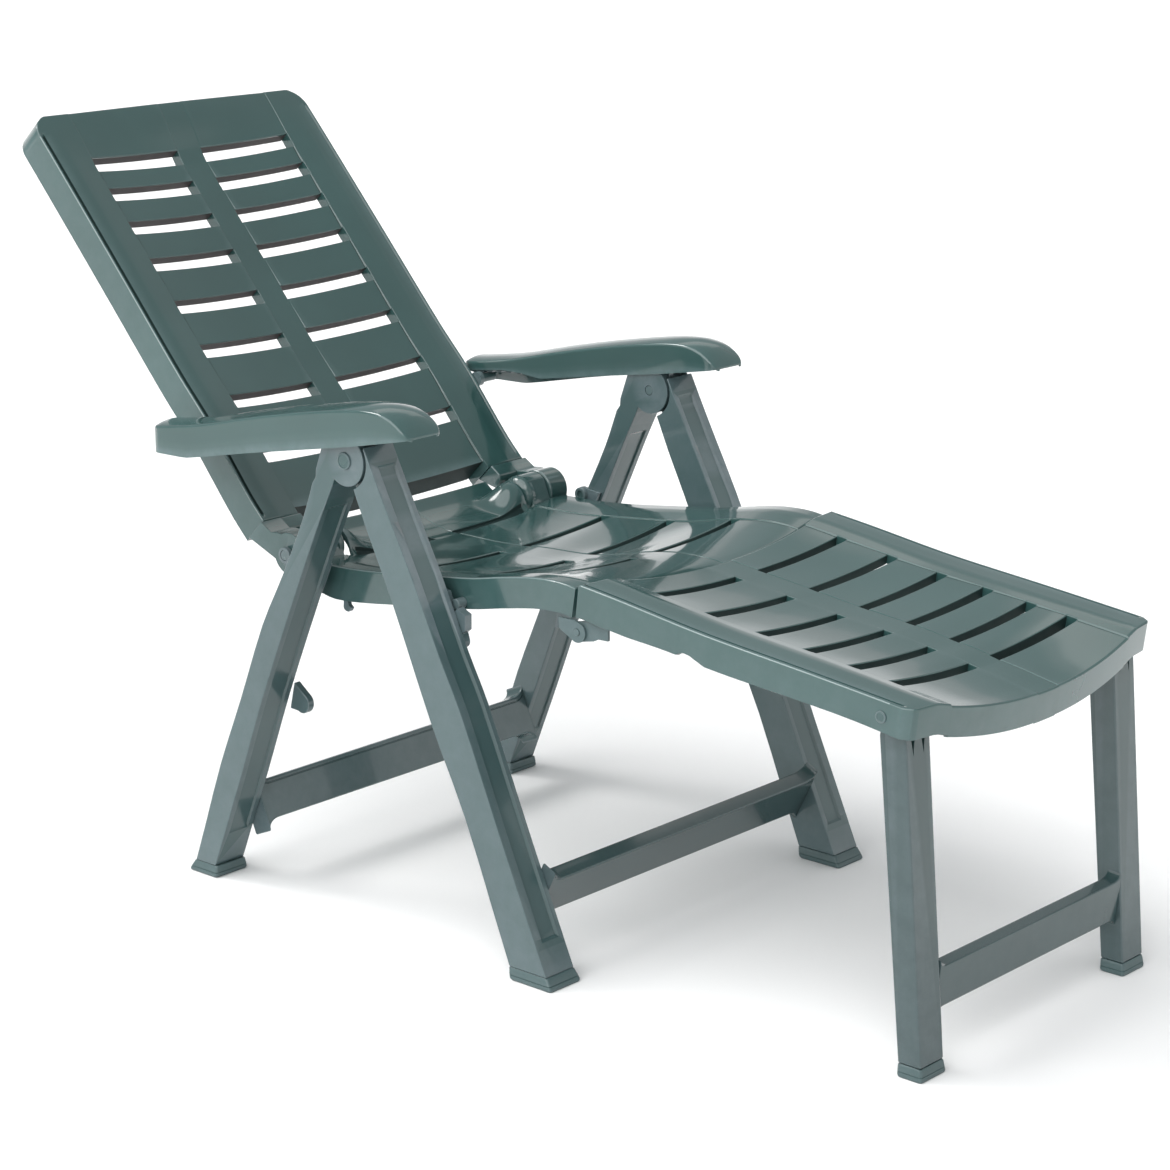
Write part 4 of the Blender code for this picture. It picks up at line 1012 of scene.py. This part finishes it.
def stud_path(t):
    y, z = STUD[0] - HINGE[0], STUD[1] - HINGE[1]
    a = math.radians(26.0 * t)
    y, z = HINGE[0] + y * math.cos(a) - z * math.sin(a), HINGE[1] + y * math.sin(a) + z * math.cos(a)
    y, z = y - PIVOT[0], z - PIVOT[1]
    a = math.radians(-10.0 * t)
    return PIVOT[0] + y * math.cos(a) - z * math.sin(a), PIVOT[1] + y * math.sin(a) + z * math.cos(a)


for side, sx in SIDES:
    armrest(side, sx)
    lug = arc(PIVOT, 0.0240, 180, 360, 30) + [(0.1360, 0.6080), (0.0880, 0.6160)]
    o = bevel(prism("lug", lug, sx * 0.2545, sx * 0.2618), 0.0007, 2, 50)
    o = bore(o, PIVOT, PIN_R + PIN_PLAY, sx * 0.25, sx * 0.27)
    piece(o, "armrest_lug_" + side, "frame")
    under = []
    for k in range(49):
        y, z = stud_path(1.0 - k / 48)
        under.append((y, z + 0.0060 + (0.0009 if (k % 12) < 6 else 0.0028)))
    y, z = STUD
    bar = (under + arc(STUD, 0.0068, 60, -25, 10)[1:] + [(y + 0.0120, z - 0.0040)]
           + [(y + 0.0165, z + 0.0030), (y + 0.0150, z + 0.0095), (0.3340, 0.5640), (0.3180, 0.5660)])
    piece(prism("bar", bar, sx * 0.2450, sx * 0.2600), "armrest_notch_bar_" + side, "frame")

# ---- back and seat hinge pieces ---------------------------------------------------------------
for side, sx in SIDES:
    a, n = back_line.at(0.0), back_line.down(0.0)
    t = Vector((-n.y, n.x))
    q0 = a - t * 0.00015
    q1 = q0 + n * 0.0325
    lug = [tuple(q0), (0.2995, 0.4370), (0.2890, 0.4385)] + arc(HINGE, 0.0260, 62, 338, 56) + [(0.3000, 0.4085), tuple(q1)]
    knuckle = bevel(prism("knuckle", lug, sx * 0.2018, sx * 0.2344), 0.0012, 3, 55)
    web = [tuple(q0), (0.3010, 0.4365), (0.3000, 0.4300), (0.3060, 0.4170), tuple(q1)]
    knuckle = join(knuckle, [bevel(prism("web", web, sx * 0.1690, sx * 0.2100), 0.0020, 3, 30)])
    ring = lathe("ring", HINGE, [(sx * 0.2024, 0.0200), (sx * 0.2024, 0.0262), (sx * 0.2030, 0.0268), (sx * 0.2052, 0.0268),
                                 (sx * 0.2058, 0.0262), (sx * 0.2058, 0.0200)], 56)
    knuckle = join(knuckle, [ring])
    knuckle = bore(knuckle, HINGE, PIN_R + PIN_PLAY, sx * 0.19, sx * 0.24)
    piece(knuckle, "backrest_hinge_lug_" + side, "panel")
    x0 = BACK_W + GAP
    o = lathe("stud", STUD, [(sx * x0, 0.0095), (sx * 0.2374, 0.0095), (sx * 0.2380, 0.0089), (sx * 0.2380, 0.0066),
                             (sx * 0.2386, 0.0060), (sx * 0.2632, 0.0060), (sx * 0.2640, 0.0052)])
    piece(o, "backrest_stud_" + side, "pin")
    k = arc(HINGE, 0.0255, -110, 128, 50) + [(0.2388 - GAP - 0.0004 + 0.0010, 0.4040), (0.2388, 0.3840)]
    kn = bevel(prism("knuckle", k, sx * 0.1690, sx * 0.2005), 0.0010, 3, 55)
    dome = [(sx * (0.1700 - 0.0125 * math.sin(math.radians(t))), 0.0040 + 0.0213 * math.cos(math.radians(t))) for t in range(90, -1, -10)]
    kn = join(kn, [lathe("dome", HINGE, dome + [(sx * 0.1740, 0.0253)], 56)])
    kn = bore(kn, HINGE, PIN_R + PIN_PLAY, sx * 0.1690, sx * 0.21)
    piece(kn, "seat_hinge_knuckle_" + side, "panel")
    o = lathe("peg", PEG, [(sx * (SEAT_W + GAP), 0.0062), (sx * 0.2382, 0.0062), (sx * 0.2388, 0.0056)])
    piece(o, "seat_peg_" + side, "pin")
    hook = [(0.1900, 0.3745), (0.1905, 0.3620)] + arc((0.1855, 0.3620), 0.0050, -5, -175, 10) + [(0.1775, 0.3625), (0.1815, 0.3650), (0.1840, 0.3745)]
    hook = [(0.1900, 0.3745), (0.1905, 0.3620), (0.1895, 0.3590), (0.1860, 0.3570), (0.1825, 0.3568), (0.1800, 0.3580), (0.1775, 0.3625),
            (0.1815, 0.3650), (0.1840, 0.3745)]
    piece(bevel(prism("hook", hook, sx * 0.2150, sx * 0.2212), 0.0008, 2, 30), "seat_hook_" + side, "frame")
    lug = ([(-0.1560, 0.4150), (-0.1570, 0.4020)] + arc(KNEE, 0.0120, -60, -180, 20) + arc(KNEE, 0.0120, 180, 130, 8)
           + [(-0.1790, 0.4150)])
    o = prism("lug", lug, sx * 0.2229, sx * 0.2255)
    o = bore(o, KNEE, 0.0040 + PIN_PLAY, sx * 0.20, sx * 0.23)
    piece(o, "seat_knee_lug_" + side, "foot")

# ---- footrest fittings and support legs ---------------------------------------------------------
for side, sx in SIDES:
    lug = (arc(KNEE, 0.0120, 60, -120, 24) + [(-0.2050, 0.3950), (-0.2120, 0.3985), (-0.2260, 0.3990), (-0.2260, 0.4170),
                                              (-0.2100, 0.4270), (-0.1970, 0.4270), (-0.1965, 0.4168)])
    o = prism("lug", lug, sx * 0.2192, sx * 0.2226)
    upper = [(-0.2250, 0.4180), (-0.2105, 0.4262), (-0.1975, 0.4262), (-0.1972, 0.4180)]
    o = join(o, [prism("upper", upper, sx * 0.2215, sx * 0.2245)])
    o = bore(o, KNEE, 0.0040 + PIN_PLAY, sx * 0.20, sx * 0.23)
    piece(o, "footrest_knee_lug_" + side, "foot")
    o = lathe("pin", KNEE, [(sx * 0.2194, 0.0036), (sx * 0.2199, 0.0040), (sx * 0.2259, 0.0040), (sx * 0.2264, 0.0036)])
    piece(o, "knee_pin_" + side, "pin")
    o = lathe("pin", SUPPORT, [(sx * 0.1770, 0.0040), (sx * 0.1776, 0.0045), (sx * 0.2245, 0.0045)])
    piece(o, "support_pin_" + side, "pin")
    o = lathe("head", SUPPORT, [(sx * (FOOT_W + GAP), 0.0065), (sx * 0.2296, 0.0065), (sx * 0.2300, 0.0060), (sx * 0.2300, 0.0046),
                                (sx * 0.2296, 0.0042), (sx * 0.2296, 0.0001)])
    piece(o, "support_pin_head_" + side, "pin")

SUP_IN, SUP_OUT = 0.1744, 0.2165


def support_leg(side, sx):
    z0 = FOOT_H + GAP
    pts = (arc(SUPPORT, 0.0078, -20, 100, 14)
           + [(-0.6120, 0.3985), (-0.6190, 0.3960), (-0.6231, 0.3666), (-0.6530, z0), (-0.6235, z0), (-0.5891, 0.3678)])
    leg = bevel(prism("leg", pts, sx * SUP_IN, sx * SUP_OUT), 0.0022, 3)
    # two V-shaped hollows at the top of the front face leave gusset ribs
    cutters = []
    w = (SUP_OUT - SUP_IN)
    for k in (0.29, 0.71):
        bm = bmesh.new()
        cx = SUP_IN + w * k
        hw = w * 0.165
        top = [(cx - hw, 0.3860), (cx + hw, 0.3860), (cx, 0.3480)]
        f = lambda z: -0.6530 + (z - z0) * math.tan(math.radians(4.9)) * 1.0
        face = lambda z: -0.6231 - (0.3666 - z) * (0.6530 - 0.6231) / (0.3666 - z0) if z < 0.3666 else -0.6231 + (z - 0.3666) * (0.0041 / 0.0294)
        outer = [bm.verts.new((sx * x, face(z) - 0.004, z)) for x, z in top]
        inner = [bm.verts.new((sx * (cx + (x - cx) * 0.55), face(z) + 0.011, z + (0.003 if z < 0.37 else -0.003))) for x, z in top]
        bm.faces.new(outer)
        bm.faces.new(inner[::-1])
        for i in range(3):
            bm.faces.new((outer[i], outer[(i + 1) % 3], inner[(i + 1) % 3], inner[i]))
        cutters.append(obj_from("cut", bm))
    leg = join(leg, cutters, "DIFFERENCE")
    leg = bore(leg, SUPPORT, 0.0045 + PIN_PLAY, sx * 0.16, sx * 0.23)
    piece(leg, "support_leg_" + side, "leg")


for side, sx in SIDES:
    support_leg(side, sx)
    foot("support_foot_" + side, -0.6540, -0.6255, SUP_IN, SUP_OUT, sx, -0.6530, -0.6235, 0.0018)
stretcher("support_stretcher", (-0.6345, 0.0910), 4.9, SUP_IN - GAP, 0.0180, 0.0240, 0.008, 0.014, mat="leg", round_r=0.002)

# ---- studio -----------------------------------------------------------------------------------
scene = bpy.context.scene
scene.view_settings.view_transform = "Standard"
scene.view_settings.look = "None"

bm = bmesh.new()
bmesh.ops.create_grid(bm, x_segments=4, y_segments=4, size=40.0)
floor = obj_from("studio_floor", bm, shift=False)
fm = bpy.data.materials.new("studio_floor")
fm.use_nodes = True
fb = fm.node_tree.nodes["Principled BSDF"]
fb.inputs["Base Color"].default_value = (0.90, 0.90, 0.90, 1)
fb.inputs["Roughness"].default_value = 0.85
fb.inputs["Specular IOR Level"].default_value = 0.2
floor.data.materials.append(fm)

world = bpy.data.worlds.new("studio")
scene.world = world
world.use_nodes = True
wn = world.node_tree
wn.nodes.clear()
wo = wn.nodes.new("ShaderNodeOutputWorld")
wb = wn.nodes.new("ShaderNodeBackground")
wc = wn.nodes.new("ShaderNodeTexCoord")
wx = wn.nodes.new("ShaderNodeSeparateXYZ")
wr = wn.nodes.new("ShaderNodeValToRGB")
wn.links.new(wc.outputs["Generated"], wx.inputs[0])
wn.links.new(wx.outputs["Z"], wr.inputs[0])
wr.color_ramp.elements[0].position = 0.0
wr.color_ramp.elements[0].color = (0.97, 0.97, 0.97, 1)
wr.color_ramp.elements[1].position = 1.0
wr.color_ramp.elements[1].color = (0.50, 0.52, 0.53, 1)
for position, value in ((0.17, 0.97), (0.24, 0.62)):
    e = wr.color_ramp.elements.new(position)
    e.color = (value, value * 1.01, value * 1.02, 1)


def bright_patch(azimuth, elevation, half_w, half_h, soft, strength, colour, at):
    """A soft-edged bright rectangle in the studio's surroundings; returns the node with its colour."""
    a, e_ = math.radians(azimuth), math.radians(elevation)
    c = Vector((math.cos(a) * math.cos(e_), math.sin(a) * math.cos(e_), math.sin(e_)))
    u = Vector((-math.sin(a), math.cos(a), 0.0))
    v = c.cross(u)
    masks = []
    for axis, lo, hi in ((u, half_w, half_w + soft), (v, half_h, half_h + soft)):
        d = wn.nodes.new("ShaderNodeVectorMath")
        d.operation = "DOT_PRODUCT"
        d.inputs[1].default_value = axis
        wn.links.new(wc.outputs["Generated"], d.inputs[0])
        ab = wn.nodes.new("ShaderNodeMath")
        ab.operation = "ABSOLUTE"
        wn.links.new(d.outputs["Value"], ab.inputs[0])
        mr = wn.nodes.new("ShaderNodeMapRange")
        mr.interpolation_type = "SMOOTHSTEP"
        mr.inputs["From Min"].default_value = lo
        mr.inputs["From Max"].default_value = hi
        mr.inputs["To Min"].default_value = 1.0
        mr.inputs["To Max"].default_value = 0.0
        wn.links.new(ab.outputs[0], mr.inputs["Value"])
        masks.append(mr)
    d = wn.nodes.new("ShaderNodeVectorMath")
    d.operation = "DOT_PRODUCT"
    d.inputs[1].default_value = c
    wn.links.new(wc.outputs["Generated"], d.inputs[0])
    g = wn.nodes.new("ShaderNodeMath")
    g.operation = "GREATER_THAN"
    g.inputs[1].default_value = 0.0
    wn.links.new(d.outputs["Value"], g.inputs[0])
    out_ = g
    for m_ in masks:
        p = wn.nodes.new("ShaderNodeMath")
        p.operation = "MULTIPLY"
        wn.links.new(out_.outputs[0], p.inputs[0])
        wn.links.new(m_.outputs[0], p.inputs[1])
        out_ = p
    mix = wn.nodes.new("ShaderNodeMix")
    mix.data_type = "RGBA"
    wn.links.new(out_.outputs[0], mix.inputs[0])
    wn.links.new(at, mix.inputs[6])
    mix.inputs[7].default_value = (colour[0] * strength, colour[1] * strength, colour[2] * strength, 1)
    return mix.outputs[2]


sky = bright_patch(41.0, 26.0, 0.95, 0.11, 0.03, 1.0, (0.42, 0.46, 0.47), wr.outputs[0])
sky = bright_patch(34.0, 42.0, 0.30, 0.10, 0.03, 1.1, (1.0, 0.98, 0.97), sky)
sky = bright_patch(178.0, 28.0, 0.55, 0.40, 0.15, 1.25, (1.0, 1.0, 1.0), sky)
sky = bright_patch(-60.0, 20.0, 0.35, 0.22, 0.10, 1.1, (1.0, 1.0, 1.0), sky)
sky = bright_patch(112.0, 47.0, 0.14, 0.12, 0.03, 12.0, (1.0, 0.99, 0.98), sky)
sky = bright_patch(207.0, 41.0, 0.10, 0.10, 0.03, 2.5, (1.0, 0.99, 0.98), sky)
sky = bright_patch(224.0, 14.0, 0.06, 0.13, 0.03, 2.0, (1.0, 0.99, 0.98), sky)
wn.links.new(sky, wb.inputs[0])
wb.inputs[1].default_value = 1.0
wn.links.new(wb.outputs[0], wo.inputs[0])


sun = bpy.data.lights.new("key", "SUN")
sun.energy = 2.1
sun.angle = math.radians(70)
sun_obj = bpy.data.objects.new("key", sun)
scene.collection.objects.link(sun_obj)
sun_obj.rotation_euler = Vector((-0.64, 0.05, 0.77)).to_track_quat("Z", "Y").to_euler()
# ---- camera -----------------------------------------------------------------------------------
cam = bpy.data.cameras.new("camera")
cam.lens = 96.125
cam.sensor_width = 36.0
cam_obj = bpy.data.objects.new("camera", cam)
scene.collection.objects.link(cam_obj)
az, el = math.radians(-48.5028441), math.radians(15.1152711)
back_dir = Vector((math.sin(az) * math.cos(el), -math.cos(az) * math.cos(el), math.sin(el)))
cam_obj.location = (-2.69914783, -2.38340574 + Y_SHIFT, 1.35032448)
cam_obj.rotation_mode = "QUATERNION"
cam_obj.rotation_quaternion = back_dir.to_track_quat("Z", "Y")
cam.clip_start, cam.clip_end = 0.05, 200.0
scene.camera = cam_obj
